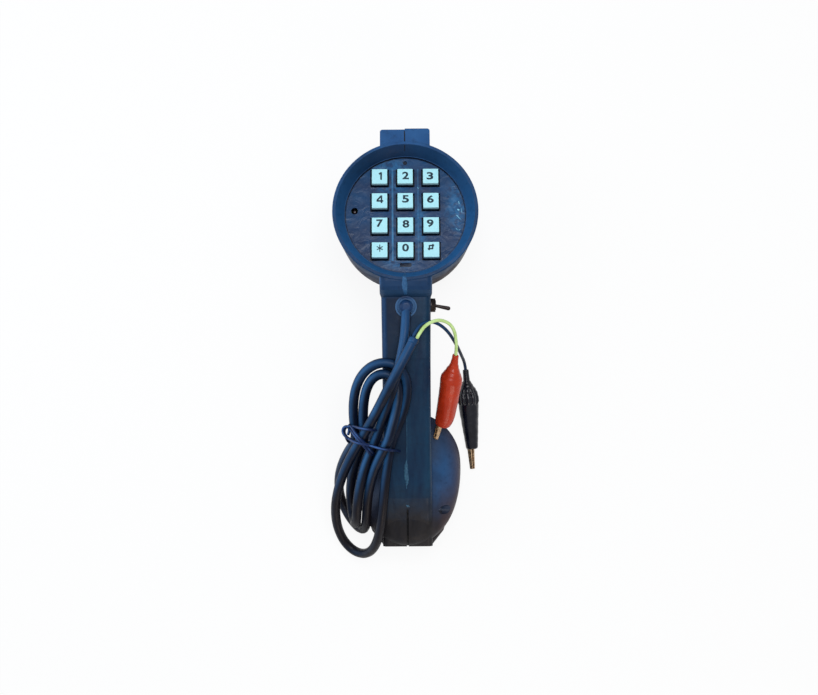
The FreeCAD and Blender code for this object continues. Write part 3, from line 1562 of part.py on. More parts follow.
def lobe_point(far, swell, bow, start, end, angle):
    """A point of a lobe that runs from one waist point round its far end to the next."""
    rise, side = math.sin(angle), math.cos(angle)
    middle = (start + end) * 0.5
    half = (start - end) * 0.5 + swell * rise
    return middle + (far - middle) * rise + half * side + bow * (4 * rise * (1 - rise))


def lobe_heading(far, swell, bow, start, end, angle):
    """The direction of the lobe there."""
    rise, side = math.sin(angle), math.cos(angle)
    middle = (start + end) * 0.5
    half = (start - end) * 0.5 + swell * rise
    heading = (far - middle) * side + swell * (side * side) - half * rise + bow * (4 * side * (1 - 2 * rise))
    return heading.normalize()


def hank_edges(first_heading, last_heading):
    """The hank's middle line: each lobe is four pairs of arcs, and each end is straight for one diameter."""
    points, headings = [WAIST[0]], [first_heading]
    for i, lobe in enumerate(LOBES):
        start, end = WAIST[i], WAIST[i + 1]
        for quarter in (1, 2, 3):
            points.append(lobe_point(*lobe, start, end, quarter * math.pi / 4))
            headings.append(lobe_heading(*lobe, start, end, quarter * math.pi / 4))
        points.append(end)
        heading = lobe_heading(*lobe, start, end, math.pi)
        if i + 1 < len(LOBES):
            heading = (heading + lobe_heading(*LOBES[i + 1], end, WAIST[i + 2], 0)).normalize()
        headings.append(heading)
    headings[-1] = last_heading
    straight = s["cord_diameter"].value
    first = points[0] + first_heading * straight
    last = points[-1] - last_heading * straight
    edges = [Part.LineSegment(points[0], first).toShape()]
    points[0], points[-1] = first, last
    for i in range(len(points) - 1):
        edges += biarc(points[i], headings[i], points[i + 1], headings[i + 1])
    edges.append(Part.LineSegment(last, last + last_heading * straight).toShape())
    return edges


def run_edges(name, points):
    """Straight runs joined by arcs as large as the runs allow; prints the arcs' radii."""
    edges, radii, start = [], [], points[0]
    for before, corner, after in zip(points, points[1:], points[2:]):
        back, ahead = (before - corner).normalize(), (after - corner).normalize()
        shorter = min((before - corner).Length, (after - corner).Length)
        half_turn = (math.pi - back.getAngle(ahead)) / 2
        radius = 0.45 * shorter / math.tan(half_turn)
        into, out, middle = rounded_corner(before, corner, after, radius)
        top = middle + (corner - middle).normalize() * radius
        edges.append(Part.LineSegment(start, into).toShape())
        edges.append(Part.Arc(into, top, out).toShape())
        radii.append(round(radius, 1))
        start = out
    edges.append(Part.LineSegment(start, points[-1]).toShape())
    print(f"{name}: radii {radii}")
    return edges


def tube(name, edges, radius):
    """A round tube along edges; prints its length and how its volume compares."""
    path = Part.Wire(edges)
    start, heading = edges[0].Vertexes[0].Point, edges[0].tangentAt(edges[0].FirstParameter)
    section = Part.Wire(Part.Circle(start, heading, radius.value).toShape())
    thing = doc.addObject("Part::Feature", name)
    thing.Shape = path.makePipeShell([section], True, False)
    full = math.pi * radius.value ** 2 * path.Length
    print(f"{name}: length {path.Length:.1f} mm, volume over section times length {thing.Shape.Volume / full:.4f}")
    return thing


def least_gap(name, edges, radius):
    """Prints the least distance between stretches of a tube that lie apart along it."""
    spots, reached = [], 0
    for edge in edges:
        steps = max(2, int(edge.Length))
        for i in range(steps):
            share = i / steps
            spots.append((reached + edge.Length * share, edge.valueAt(between(*edge.ParameterRange, share))))
        reached += edge.Length
    apart = radius.value * 6
    least = min(
        (spot - other).Length
        for i, (along, spot) in enumerate(spots)
        for further, other in spots[i + 1 :]
        if further - along > apart
    )
    print(f"{name}: least gap to itself {least - radius.value * 2:.2f} mm")


def make_cord():
    """Tail, hank and end, which meet face to face at the waist."""
    radius = s["cord_diameter"] / 2
    exit_point = Vector(*(size.value for size in exit_spot))
    tail = [exit_point, *CORD_TAIL, WAIST[0]]
    end = [WAIST[-1], *CORD_END]
    first_heading = (tail[-1] - tail[-2]).normalize()
    last_heading = (end[1] - end[0]).normalize()
    node(tube("cord_tail", run_edges("cord_tail", tail), radius))
    hank = hank_edges(first_heading, last_heading)
    least_gap("cord_hank", hank, radius)
    node(tube("cord_hank", hank, radius))
    node(tube("cord_end", run_edges("cord_end", end), radius))


def make_tie():
    """A wire round the strands of the waist; both its ends lie between them and the handle."""
    reach = s["tie_reach"].value
    sides = [Vector(1, 0, 0)]
    sides += [Vector(0, 1, 0).cross(after - before).normalize() for before, after in zip(TIED, TIED[1:])]
    sides.append(Vector(0, 1, 0).cross(WAIST[1] - TIED[-1]).normalize())
    edges = []
    for i, strand in enumerate(TIED):
        into, out = strand + sides[i] * reach, strand + sides[i + 1] * reach
        top = strand + (sides[i] + sides[i + 1]).normalize() * reach
        if i:
            edges.append(Part.LineSegment(edges[-1].Vertexes[-1].Point, into).toShape())
        edges.append(Part.Arc(into, top, out).toShape())
    run = (WAIST[1] - TIED[-1]).normalize() * s["tie_end_run"].value
    edges.append(Part.LineSegment(out, out + run).toShape())
    node(tube("cord_tie", edges, s["tie_radius"]))


def in_clip(colour, *points):
    """Points of a clip's own frame, where the clip lies."""
    x, y, z, yaw, pitch, roll = (
        s[f"{colour}_clip_{name}"].value for name in ("x", "y", "z", "yaw", "pitch", "roll")
    )
    laid = FreeCAD.Placement(Vector(x, y, z), Rotation(yaw, pitch, roll))
    return [laid.multVec(Vector(*point)) for point in points]


def make_leads():
    """Two leads from the end of the jacket, each to the fixed jaw's tail of its clip."""
    end = CORD_END[-1]
    heading = (end - CORD_END[-2]).normalize()
    aside = heading.cross(Vector(0, 0, 1)).normalize() * (s["lead_radius"].value + 0.2)
    beyond = -(s["jaw_tail"] + 0.6).value
    tail = (beyond, 0, 1 - s["jaw_splay"].value)
    boots = {
        "green": ("red", [(-40.8, 0, 0), (-29, 0, 0), tail]),
        "black": ("black", [(-44.7, 0, 0), (-32, 0, 0), (-26.2, 0, -0.9), tail]),
    }
    for name, side in (("green", 1), ("black", -1)):
        colour, in_boot = boots[name]
        start = end + aside * side
        points = [start, start + heading * 5, *LEAD_RUNS[name], *in_clip(colour, *in_boot)]
        node(tube(f"lead_{name}", run_edges(f"lead_{name}", points), s["lead_radius"]))


make_shells()
make_shell_screws()
make_capsule_ends()
make_keypad_plate()
make_keys()
make_keypad_inside()
make_board()
make_grommet()
make_switch()
make_lever()
make_clip("red")
make_clip("black")
make_cord()
make_tie()
make_leads()


def check_and_export():
    """Stops if anything failed, then writes each piece to its own file."""
    doc.recompute()
    failed = [thing.Name for thing in doc.Objects if "Invalid" in thing.State or "Error" in thing.State]
    if failed:
        raise RuntimeError(f"failed: {failed}")
    os.makedirs(PARTS_FOLDER, exist_ok=True)
    for thing in NODES:
        shape = thing.Shape
        if shape.isNull() or not shape.isValid() or not shape.Solids:
            raise RuntimeError(f"bad shape: {thing.Label}")
        shape.exportStep(os.path.join(PARTS_FOLDER, f"{thing.Label}.step"))
        extent = shape.BoundBox
        print(
            f"{thing.Label}: {len(shape.Solids)} solids, {len(shape.Faces)} faces, {shape.Volume:.0f} mm3, "
            f"x {extent.XMin:.1f} {extent.XMax:.1f}, y {extent.YMin:.1f} {extent.YMax:.1f}, "
            f"z {extent.ZMin:.1f} {extent.ZMax:.1f}"
        )


check_and_export()
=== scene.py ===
import json
import math

import bmesh
import bpy
from mathutils import Euler, Matrix, Vector, noise
from mathutils.bvhtree import BVHTree


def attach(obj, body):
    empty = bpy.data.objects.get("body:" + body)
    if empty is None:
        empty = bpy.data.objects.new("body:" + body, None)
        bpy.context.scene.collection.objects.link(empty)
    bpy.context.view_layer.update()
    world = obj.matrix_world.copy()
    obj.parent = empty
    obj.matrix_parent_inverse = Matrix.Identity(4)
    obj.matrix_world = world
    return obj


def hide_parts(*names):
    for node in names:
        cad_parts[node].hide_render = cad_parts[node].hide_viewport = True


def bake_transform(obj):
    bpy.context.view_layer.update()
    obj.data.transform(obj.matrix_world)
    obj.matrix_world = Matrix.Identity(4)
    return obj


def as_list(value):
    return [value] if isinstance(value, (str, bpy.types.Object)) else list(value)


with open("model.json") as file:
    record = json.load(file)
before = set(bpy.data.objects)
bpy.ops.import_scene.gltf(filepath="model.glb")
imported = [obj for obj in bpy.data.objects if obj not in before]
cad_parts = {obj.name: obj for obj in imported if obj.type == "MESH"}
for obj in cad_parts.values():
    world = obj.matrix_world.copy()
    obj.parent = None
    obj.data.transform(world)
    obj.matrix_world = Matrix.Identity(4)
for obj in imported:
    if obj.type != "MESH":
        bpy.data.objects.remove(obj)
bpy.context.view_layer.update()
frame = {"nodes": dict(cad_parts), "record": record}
nodes = frame["nodes"]
MM = 0.001
SCREEN_GAMMA = 2.2

# Head and mouthpiece: lean and middle of the rim, and opening over the keypad plate, in millimetres

HEAD_TILT = math.radians(11.5)
HEAD_AXIS = Vector((0, math.sin(HEAD_TILT), math.cos(HEAD_TILT)))
HEAD_UP = Vector((0, math.cos(HEAD_TILT), -math.sin(HEAD_TILT)))
HEAD_MIDDLE = Vector((0, 77.6, 56.618))
RIM_LEVEL = HEAD_MIDDLE.dot(HEAD_AXIS)
PLATE_EDGE = 36.4
MOUTH_TILT = math.radians(9.5)
MOUTH_MIDDLE = Vector((0, -78.4, 10.762))


def mm(x, y, z):
    """A point given in millimetres."""
    return Vector((x, y, z)) * MM


def paint(red, green, blue):
    """A colour as a screen shows it, from 0 to 255, as the shader takes it."""
    return tuple((part / 255) ** SCREEN_GAMMA for part in (red, green, blue)) + (1,)


def add_node(tree, kind, inputs=(), **settings):
    """A node with its settings; each input is a value or the socket that feeds it."""
    node = tree.nodes.new(kind)
    for key, value in settings.items():
        setattr(node, key, value)
    for key, value in dict(inputs).items():
        if isinstance(value, bpy.types.NodeSocket):
            tree.links.new(value, node.inputs[key])
        else:
            node.inputs[key].default_value = value
    return node


def placed(name, data):
    """An object of the scene."""
    thing = bpy.data.objects.new(name, data)
    bpy.context.scene.collection.objects.link(thing)
    return thing


# Camera: its place in millimetres, its turn, and its focal length in pixels of the picture

CAMERA_SPOT = (1.6, -4.2, 600)
CAMERA_TURN = -0.0075
FOCAL_LENGTH, PICTURE_WIDTH = 917, 818
SENSOR_WIDTH = 36


def make_camera():
    """Straight above the telephone, turned with it by less than half a degree."""
    data = bpy.data.cameras.new("camera")
    data.sensor_width = SENSOR_WIDTH
    data.lens = SENSOR_WIDTH * FOCAL_LENGTH / PICTURE_WIDTH
    data.clip_start = 0.01
    camera = placed("camera", data)
    camera.location = mm(*CAMERA_SPOT)
    camera.rotation_euler = (0, 0, CAMERA_TURN)
    bpy.context.scene.camera = camera


# Cord: the route of the solids, in millimetres

CORD_RADIUS, LEAD_RADIUS = 2.95, 1
CORD_EXIT = Vector((0, 21.156, 58.179))
CORD_TAIL = [(0, 8.5, 62.785), (-2.8, -9.4, 63.1), (-7.1, -24.7, 63.7), (-13.2, -43.8, 58)]
WAIST_Y = -60
WAIST_SPOTS = [(-19.1, 51.5), (-25.9, 45.6), (-11.4, 59.5), (-31, 41.4), (-9.2, 50.6), (-28.3, 52.9)]
WAIST = [Vector((x, WAIST_Y, z)) for x, z in WAIST_SPOTS]
LOBES = [
    ((-32.7, -113.6, 27.5), (1.1, 0.1, 22.7), (-4.3, 0, -3.2)),
    ((-11.6, -20, 56.3), (-8.2, 4.1, 6.1), (-0.6, 2.6, 0.5)),
    ((-29.8, -118.7, 19.3), (4.5, -1, 19.5), (-8.2, 0, -6.3)),
    ((-12.1, -13, 57), (-14.4, 1.4, 3.4), (-0.1, 0.5, 0)),
    ((-29.9, -135.9, 12.9), (15.5, 0.8, 23.1), (-5.3, 0.1, 4.5)),
]
LOBE_POINTS = 18
CORD_END = [(-19.5, -45.3, 60.4), (-8.6, -23.9, 70.5), (-0.8, -9.5, 69.4), (4.3, 0.2, 67.2)]
END_SPOT = Vector(CORD_END[-1])
END_HEADING = (END_SPOT - Vector(CORD_END[-2])).normalized()


def lobe_point(lobe, start, end, angle):
    """A point of a lobe that runs from one waist point round its far end to the next."""
    far, swell, bow = (Vector(part) for part in lobe)
    rise, side = math.sin(angle), math.cos(angle)
    middle = (start + end) / 2
    half = (start - end) / 2 + swell * rise
    return middle + (far - middle) * rise + half * side + bow * (4 * rise * (1 - rise))


def cord_route():
    """Tail, hank and end as one route."""
    route = [CORD_EXIT, *CORD_TAIL, WAIST[0]]
    for lobe, start, end in zip(LOBES, WAIST, WAIST[1:]):
        for i in range(1, LOBE_POINTS):
            route.append(lobe_point(lobe, start, end, math.pi * i / LOBE_POINTS))
        route.append(end)
    return route + CORD_END


def smooth_cord(name, route, radius, finish):
    """A round cord on one smooth spline whose control points are the route."""
    curve = bpy.data.curves.new(name, "CURVE")
    curve.dimensions = "3D"
    spline = curve.splines.new("NURBS")
    spline.points.add(len(route) - 1)
    for point, spot in zip(spline.points, route):
        point.co = (*mm(*spot), 1)
    spline.order_u = 3
    spline.use_endpoint_u = True
    spline.resolution_u = 6
    curve.bevel_depth = radius * MM
    curve.bevel_resolution = 5
    curve.use_fill_caps = True
    curve.materials.append(FINISHES[finish].material)
    return placed(name, curve)


# Finishes

class Finish:
    """A material built from nodes; patterns read Object coordinates, in metres."""

    def __init__(self, name, colour, **settings):
        self.material = bpy.data.materials.new(name)
        self.material.use_nodes = True
        self.tree = self.material.node_tree
        self.shader = self.tree.nodes["Principled BSDF"]
        self.shader.inputs["Base Color"].default_value = paint(*colour)
        for socket, value in settings.items():
            self.shader.inputs[socket.replace("_", " ")].default_value = value
        place = self.add("ShaderNodeTexCoord")
        self.coordinates, self.facing = place.outputs["Object"], place.outputs["Normal"]

    def add(self, kind, inputs=(), **settings):
        return add_node(self.tree, kind, inputs, **settings)

    def stretched(self, x, y, z):
        """Coordinates multiplied along each axis."""
        sockets = {"Vector": self.coordinates, "Scale": (x, y, z)}
        return self.add("ShaderNodeMapping", sockets).outputs["Vector"]

    def speckle(self, size, detail=3.0, roughness=0.5, vector=None, distortion=0.0):
        """Noise whose features are about that size in millimetres."""
        sockets = {
            "Vector": vector or self.coordinates,
            "Scale": 1 / (size * MM),
            "Detail": detail,
            "Roughness": roughness,
            "Distortion": distortion,
        }
        return self.add("ShaderNodeTexNoise", sockets).outputs["Fac"]

    def scaled(self, value, low, high, to_low=0.0, to_high=1.0):
        """A value taken from one range to another, and no further."""
        sockets = {"Value": value, "From Min": low, "From Max": high, "To Min": to_low, "To Max": to_high}
        return self.add("ShaderNodeMapRange", sockets).outputs["Result"]

    def worked(self, operation, first, second):
        return self.add("ShaderNodeMath", {0: first, 1: second}, operation=operation).outputs["Value"]

    def times(self, *values):
        product = values[0]
        for value in values[1:]:
            product = self.worked("MULTIPLY", product, value)
        return product

    def mixed(self, share, first, second):
        """The first colour, or as much of the second as the share says; sockets or colours of a screen."""
        mix = self.add("ShaderNodeMix", data_type="RGBA")
        for socket, value in (("Factor_Float", share), ("A_Color", first), ("B_Color", second)):
            target = next(part for part in mix.inputs if part.identifier == socket)
            if isinstance(value, bpy.types.NodeSocket):
                self.tree.links.new(value, target)
            else:
                target.default_value = paint(*value)
        return next(part for part in mix.outputs if part.identifier == "Result_Color")

    def cloudy(self, size, first, second):
        """Two colours in soft clouds of about that size in millimetres."""
        return self.mixed(self.scaled(self.speckle(size, 4), 0.3, 0.7), first, second)

    def along(self, *direction, of=None):
        """How far the place, or another vector, reaches along a direction."""
        sockets = {0: of or self.coordinates, 1: direction}
        return self.add("ShaderNodeVectorMath", sockets, operation="DOT_PRODUCT").outputs["Value"]

    def under_rim(self, start, full, to_low=0.0, to_high=1.0):
        """Runs between two depths under the head's rim, in millimetres."""
        height = self.along(*HEAD_AXIS)
        return self.scaled(height, (RIM_LEVEL - start) * MM, (RIM_LEVEL - full) * MM, to_low, to_high)

    def turned_to(self, *direction, start, full):
        """One where the surface faces a direction, nought where it faces away."""
        return self.scaled(self.along(*Vector(direction).normalized(), of=self.facing), start, full)

    def distance(self, vector):
        return self.add("ShaderNodeVectorMath", {0: vector}, operation="LENGTH").outputs["Value"]

    def patch(self, middle, reach):
        """One in the middle of a soft round patch, nought outside it; both in millimetres."""
        shares = [1 / (part * MM) for part in reach]
        shift = [-part * MM * share for part, share in zip(middle, shares)]
        laid = self.add("ShaderNodeMapping", {"Vector": self.coordinates, "Scale": shares, "Location": shift})
        return self.scaled(self.distance(laid.outputs["Vector"]), 0.25, 1, 1, 0)

    def set(self, socket, value):
        self.tree.links.new(value, self.shader.inputs[socket])
        return self

    def uneven_gloss(self, size, low, high, detail=4):
        """Roughness that wanders between two values."""
        return self.set("Roughness", self.scaled(self.speckle(size, detail), 0.3, 0.7, low, high))

    def relief(self, height, depth):
        """Bump of that depth in millimetres, over any bump before it."""
        bump = self.add("ShaderNodeBump", {"Height": height, "Distance": depth * MM, "Strength": 1.0})
        before = self.shader.inputs["Normal"].links
        if before:
            self.tree.links.new(before[0].from_socket, bump.inputs["Normal"])
        return self.set("Normal", bump.outputs["Normal"])


def head_colour(finish, across, along, low_wall):
    """Head, collar and tab: painted light and shade on the steep faces such as the recess walls, and a
    painted brown reflection low on the drum's outside.
    """
    mixed, scaled = finish.mixed, finish.scaled
    cloud = scaled(finish.speckle(22, 4), 0.35, 0.65)
    colour = mixed(cloud, (27, 56, 90), (35, 70, 110))
    colour = mixed(scaled(along, 0.048, 0.04, 0, 0.8), colour, (25, 50, 80))
    tab = mixed(cloud, (34, 72, 118), (42, 84, 132))
    colour = mixed(scaled(along, 0.112, 0.12), colour, tab)
    # Painted light and shade on the head's steep faces: lighter where a face turns to the tab and a little
    # left, near-black where it turns to the handle; by the collar they keep one flat colour.
    steep = scaled(finish.along(0, 0.2, 0.98, of=finish.facing), 0.8, 0.4)
    lit = scaled(finish.along(-0.12, 0.6, 0, of=finish.facing), -0.54, 0.25)
    wall = mixed(lit, (6, 17, 35), (44, 96, 148))
    wall = mixed(scaled(along, 0.034, 0.031), wall, (40, 66, 96))
    colour = mixed(steep, colour, wall)
    # Painted reflection: where the drum's outside faces the heel, blue near the rim turns warm brown lower
    # down, more so to the right.
    brown = finish.times(finish.under_rim(6, 22), scaled(across, -0.01, 0.01, 0.6, 1))
    return mixed(low_wall, colour, mixed(brown, (26, 58, 90), (50, 38, 42)))


def handle_colour(finish, across, along, aside):
    """Handle, mouthpiece and heel: streaky and darker left of the seam, with painted light on faces turned to
    the left and a painted brown reflection on the heel and the right bulb's edge.
    """
    mixed, scaled, times = finish.mixed, finish.scaled, finish.times
    streak = scaled(finish.speckle(7, 4, 0.55, finish.stretched(1, 0.12, 1), 0.3), 0.35, 0.68)
    colour = mixed(streak, (17, 38, 62), (24, 56, 80))
    shaded = times(scaled(across, 0.0002, -0.0006), scaled(along, -0.08, -0.066), 0.55)
    colour = mixed(shaded, colour, (8, 24, 44))
    # Painted light: faces turned to the left and up are bluer.
    sides = times(finish.turned_to(-1, 0, 0.4, start=0.4, full=0.8), 0.6)
    colour = mixed(sides, colour, (32, 70, 112))
    on_bulb = scaled(aside, 0.0142, 0.016)
    bulb = mixed(finish.patch((23, -86, 24), (19, 30, 34)), (46, 58, 80), (44, 78, 118))
    bulb = mixed(scaled(finish.speckle(9, 4), 0.4, 0.75, 0, 0.5), bulb, (36, 52, 76))
    colour = mixed(on_bulb, colour, bulb)
    # Painted reflection: below a ragged line the heel turns brown-black, as if it mirrored a warm surround.
    heel = mixed(streak, (27, 26, 29), (43, 41, 43))
    heel = mixed(times(on_bulb, 0.6), heel, (50, 45, 48))
    ragged = finish.worked("ADD", along, scaled(finish.speckle(5, 4), 0.2, 0.8, -0.004, 0.004))
    ragged = finish.worked("ADD", ragged, times(on_bulb, 0.004))
    colour = mixed(scaled(ragged, -0.087, -0.112), colour, heel)
    # Painted reflection: a warm brown glow on the right bulb's outer edge.
    outward = finish.turned_to(1, -0.3, 0.1, start=0.35, full=0.97)
    edge = times(outward, scaled(aside, 0.018, 0.022), 0.8)
    return mixed(edge, colour, (72, 56, 56))


def housing_plastic():
    """Satin blue plastic: bluer on the head, duller on the handle, with grime and rubbed marks, and painted
    light, shade and reflections.
    """
    finish = Finish("housing_plastic", (32, 64, 100), Roughness=0.45, Specular_IOR_Level=0.16)
    mixed, scaled, times = finish.mixed, finish.scaled, finish.times
    across, along = finish.along(1, 0, 0), finish.along(0, 1, 0)
    aside = finish.worked("ABSOLUTE", across, 0)
    # Where the drum's outside faces the heel; there it takes a painted brown reflection and less specular.
    outside = times(
        scaled(along, 0.084, 0.07), scaled(aside, 0.0128, 0.0136), scaled(along, 0.031, 0.034)
    )
    low_wall = times(finish.turned_to(0, -1, -0.1, start=0.2, full=0.7), outside)
    head, handle = head_colour(finish, across, along, low_wall), handle_colour(finish, across, along, aside)
    colour = mixed(scaled(along, 0.0275, 0.0245), head, handle)
    grime = scaled(finish.speckle(3.2, 6, 0.62), 0.52, 0.8)
    colour = mixed(times(grime, 0.4), colour, (16, 26, 40))
    scuff = scaled(finish.speckle(1.1, 5, 0.6, finish.stretched(1, 0.12, 1), 0.4), 0.66, 0.8)
    rubbed = times(scuff, scaled(finish.speckle(16, 2), 0.5, 0.7), 0.4)
    finish.set("Base Color", mixed(rubbed, colour, (66, 100, 126)))
    finish.set("Specular IOR Level", scaled(low_wall, 0, 1, 0.16, 0.02))
    finish.uneven_gloss(7, 0.34, 0.54, 5)
    finish.relief(finish.speckle(0.7, 3), 0.018)
    return finish.relief(finish.speckle(9, 2), 0.3)


# Painted sheen on the keypad plate, in soft patches: middle and reach, in millimetres

PAINTED_SHEEN_PATCHES = (
    ((31, 80, 47), (9, 24, 10)),
    ((-9, 106, 42), (14, 7, 12)),
    ((-9, 92, 45), (12, 4, 9)),
    ((-5, 47, 53), (12, 6, 9)),
    ((9, 70, 50), (5, 30, 12)),
)


def plate_plastic():
    """Slate-blue plastic, wavy from the mould, with painted highlights on its ribs, painted sheen in soft
    patches and painted shadow at its edge.
    """
    finish = Finish("plate_plastic", (44, 60, 88), Roughness=0.34, Specular_IOR_Level=0.22)
    mixed, scaled, times = finish.mixed, finish.scaled, finish.times
    cloud = scaled(finish.speckle(14, 4), 0.38, 0.66)
    colour = mixed(cloud, (36, 55, 86), (32, 68, 106))
    # Painted sheen: soft lighter patches, broken up, as if these parts of the plate caught the light.
    painted_sheen, *others = (finish.patch(middle, reach) for middle, reach in PAINTED_SHEEN_PATCHES)
    for spot in others:
        painted_sheen = finish.worked("MAXIMUM", painted_sheen, spot)
    broken = scaled(finish.speckle(3, 4, 0.5, None, 0.8), 0.34, 0.6)
    colour = mixed(times(painted_sheen, broken, 0.8), colour, (46, 102, 148))
    across = finish.along(1, 0, 0)
    up = finish.worked("SUBTRACT", finish.along(*HEAD_UP), HEAD_MIDDLE.dot(HEAD_UP) * MM)
    patchy = scaled(finish.speckle(5, 3, 0.5, finish.stretched(1, 0.5, 1)), 0.35, 0.6, 0.35, 1)
    # Painted highlight on the tops of the ribs, stronger on the left.
    rib = times(finish.under_rim(8.8, 8.55), scaled(across, -0.004, 0.004, 0.9, 0.4), patchy)
    colour = mixed(rib, colour, (62, 120, 166))
    # Painted shadow in the gap round the plate's edge and below the plate's top.
    reach = finish.worked("SQRT", finish.worked("ADD", times(across, across), times(up, up)), 0)
    edge = scaled(reach, (PLATE_EDGE - 0.7) * MM, (PLATE_EDGE - 0.35) * MM)
    deep = finish.worked("MAXIMUM", finish.under_rim(9.3, 9.1, 1, 0), edge)
    finish.set("Base Color", mixed(times(deep, 0.9), colour, (10, 18, 34)))
    finish.uneven_gloss(5, 0.2, 0.42)
    finish.relief(finish.speckle(0.5, 3), 0.015)
    return finish.relief(finish.speckle(6, 3, 0.45, None, 0.6), 0.5)


def key_plastic():
    """Pale keys with a faint grain; the front slope greyer, in painted light, and the other sides and the
    part in the plate in painted shade.
    """
    finish = Finish("key_plastic", (165, 222, 232), Roughness=0.42, Specular_IOR_Level=0.3)
    # Painted light and shade: the front slope above the plate is lit, the other sides and all below the
    # plate's level are dark.
    over_plate = finish.under_rim(7.6, 6.8)
    top = finish.scaled(finish.along(*HEAD_AXIS, of=finish.facing), 0.8, 0.97)
    front = finish.times(finish.turned_to(0, -1, 0, start=0.4, full=0.7), over_plate)
    side = finish.mixed(front, (10, 26, 44), (150, 190, 198))
    grain = finish.scaled(finish.speckle(0.9, 4), 0.3, 0.7)
    face = finish.mixed(grain, (158, 216, 226), (172, 226, 234))
    finish.set("Base Color", finish.mixed(finish.times(top, over_plate), side, face))
    finish.uneven_gloss(2.4, 0.34, 0.5)
    return finish.relief(finish.speckle(0.45, 3), 0.008)


def printed_ink():
    """The keys' dark print."""
    finish = Finish("printed_ink", (28, 58, 72), Roughness=0.5, Specular_IOR_Level=0.3)
    finish.set("Base Color", finish.mixed(finish.speckle(0.6, 4), (6, 30, 44), (18, 52, 66)))
    return finish.relief(finish.speckle(0.2, 2), 0.004)


def soft_vinyl(name, deep, light, size, gloss, shine=0.3):
    """Vinyl of the boots and the green lead: cloudy colour, uneven gloss, slight ripple."""
    finish = Finish(name, light, Roughness=gloss, Specular_IOR_Level=shine)
    finish.set("Base Color", finish.cloudy(size, deep, light))
    finish.uneven_gloss(size / 2, gloss - 0.08, gloss + 0.12, 5)
    finish.relief(finish.speckle(size / 8, 2), 0.006)
    return finish.relief(finish.speckle(size, 2), 0.12)


def plain_plastic(name, deep, light, size, gloss):
    """Moulded plastic for small parts."""
    finish = Finish(name, light, Roughness=gloss, Specular_IOR_Level=0.25)
    finish.set("Base Color", finish.cloudy(size, deep, light))
    finish.uneven_gloss(size / 3, gloss - 0.08, gloss + 0.1)
    return finish.relief(finish.speckle(0.4, 3), 0.012)


def worn_metal(name, colour, dark, gloss, line=(1, 1, 1)):
    """Plated metal with drawn lines, handling marks and dark spots."""
    finish = Finish(name, colour, Metallic=1.0, Roughness=gloss)
    spots = finish.scaled(finish.speckle(1.6, 6, 0.65), 0.52, 0.72)
    finish.set("Base Color", finish.mixed(spots, colour, dark))
    finish.uneven_gloss(2.2, gloss - 0.08, gloss + 0.2, 5)
    return finish.relief(finish.speckle(0.5, 3, 0.5, finish.stretched(*line)), 0.012)


def board_laminate():
    """Green lacquered board with copper tracks under the lacquer."""
    finish = Finish("board_laminate", (38, 92, 56), Roughness=0.42, Specular_IOR_Level=0.5)
    sizes = {"Scale": 1.0, "Mortar Size": 0.00018, "Brick Width": 0.0042, "Row Height": 0.0016}
    tracks = finish.add("ShaderNodeTexBrick", {"Vector": finish.coordinates, **sizes}).outputs["Fac"]
    finish.set("Base Color", finish.mixed(tracks, (34, 88, 52), (74, 128, 70)))
    finish.uneven_gloss(4, 0.34, 0.52)
    return finish.relief(tracks, 0.02)


def grommet_rubber():
    """Blue rubber, with painted light on its lip on all but its side towards the tab."""
    finish = Finish("grommet_rubber", (26, 54, 92), Roughness=0.38, Specular_IOR_Level=0.2)
    around = {"Vector": finish.coordinates, "Location": (0, -0.02, 0), "Scale": (1, 1, 0)}
    reach = finish.distance(finish.add("ShaderNodeMapping", around).outputs["Vector"])
    # Painted light on the lip outside the cord's way out.
    lip = finish.times(
        finish.scaled(reach, 0.0036, 0.0046), finish.scaled(finish.along(0, 1, 0), 0.0255, 0.0235), 0.75
    )
    colour = finish.cloudy(4, (18, 42, 74), (28, 60, 100))
    finish.set("Base Color", finish.mixed(lip, colour, (60, 100, 142)))
    finish.uneven_gloss(2, 0.3, 0.5)
    return finish.relief(finish.speckle(0.6, 3), 0.012)


def cord_jacket(name, deep, light, sheen, low):
    """Smooth dark vinyl with painted reflections: bluer where it faces up near the cord's exit, browner
    towards the heel, and a painted sheen where it faces up and to the left.
    """
    finish = Finish(name, deep, Roughness=0.4, Specular_IOR_Level=0.14)
    along = finish.along(0, 1, 0)
    lower, upper = finish.scaled(along, -0.074, -0.1), finish.scaled(along, -0.03, 0.004)
    # Painted reflection: faces turned up near the cord's exit are bluer.
    facing_up = finish.turned_to(-0.1, 0, 1, start=0.2, full=0.8)
    colour = finish.mixed(finish.times(upper, facing_up), finish.cloudy(9, deep, light), (30, 64, 102))
    # Painted reflection: browner towards the heel.
    colour = finish.mixed(finish.times(lower, 0.85), colour, low)
    uneven = finish.scaled(finish.speckle(16, 2), 0.35, 0.6, 0.55, 1)
    # Painted sheen where the cord faces up and to the left, fainter towards the heel.
    lit = finish.turned_to(-0.6, 0.12, 0.8, start=0.6, full=1)
    shine = finish.times(lit, lit, finish.scaled(lower, 0, 1, 1, 0.14), uneven)
    finish.set("Base Color", finish.mixed(shine, colour, sheen))
    finish.uneven_gloss(4, 0.32, 0.5, 5)
    finish.relief(finish.speckle(0.8, 3), 0.01)
    return finish.relief(finish.speckle(4, 3), 0.05)


def dark_lens():
    """The line lamp when it is off: nearly black, with a clear skin."""
    finish = Finish("dark_lens", (18, 12, 18), Roughness=0.14, Coat_Weight=0.4)
    finish.set("Base Color", finish.mixed(finish.speckle(1.2, 3), (14, 10, 16), (34, 14, 20)))
    return finish.relief(finish.speckle(0.6, 2), 0.006)


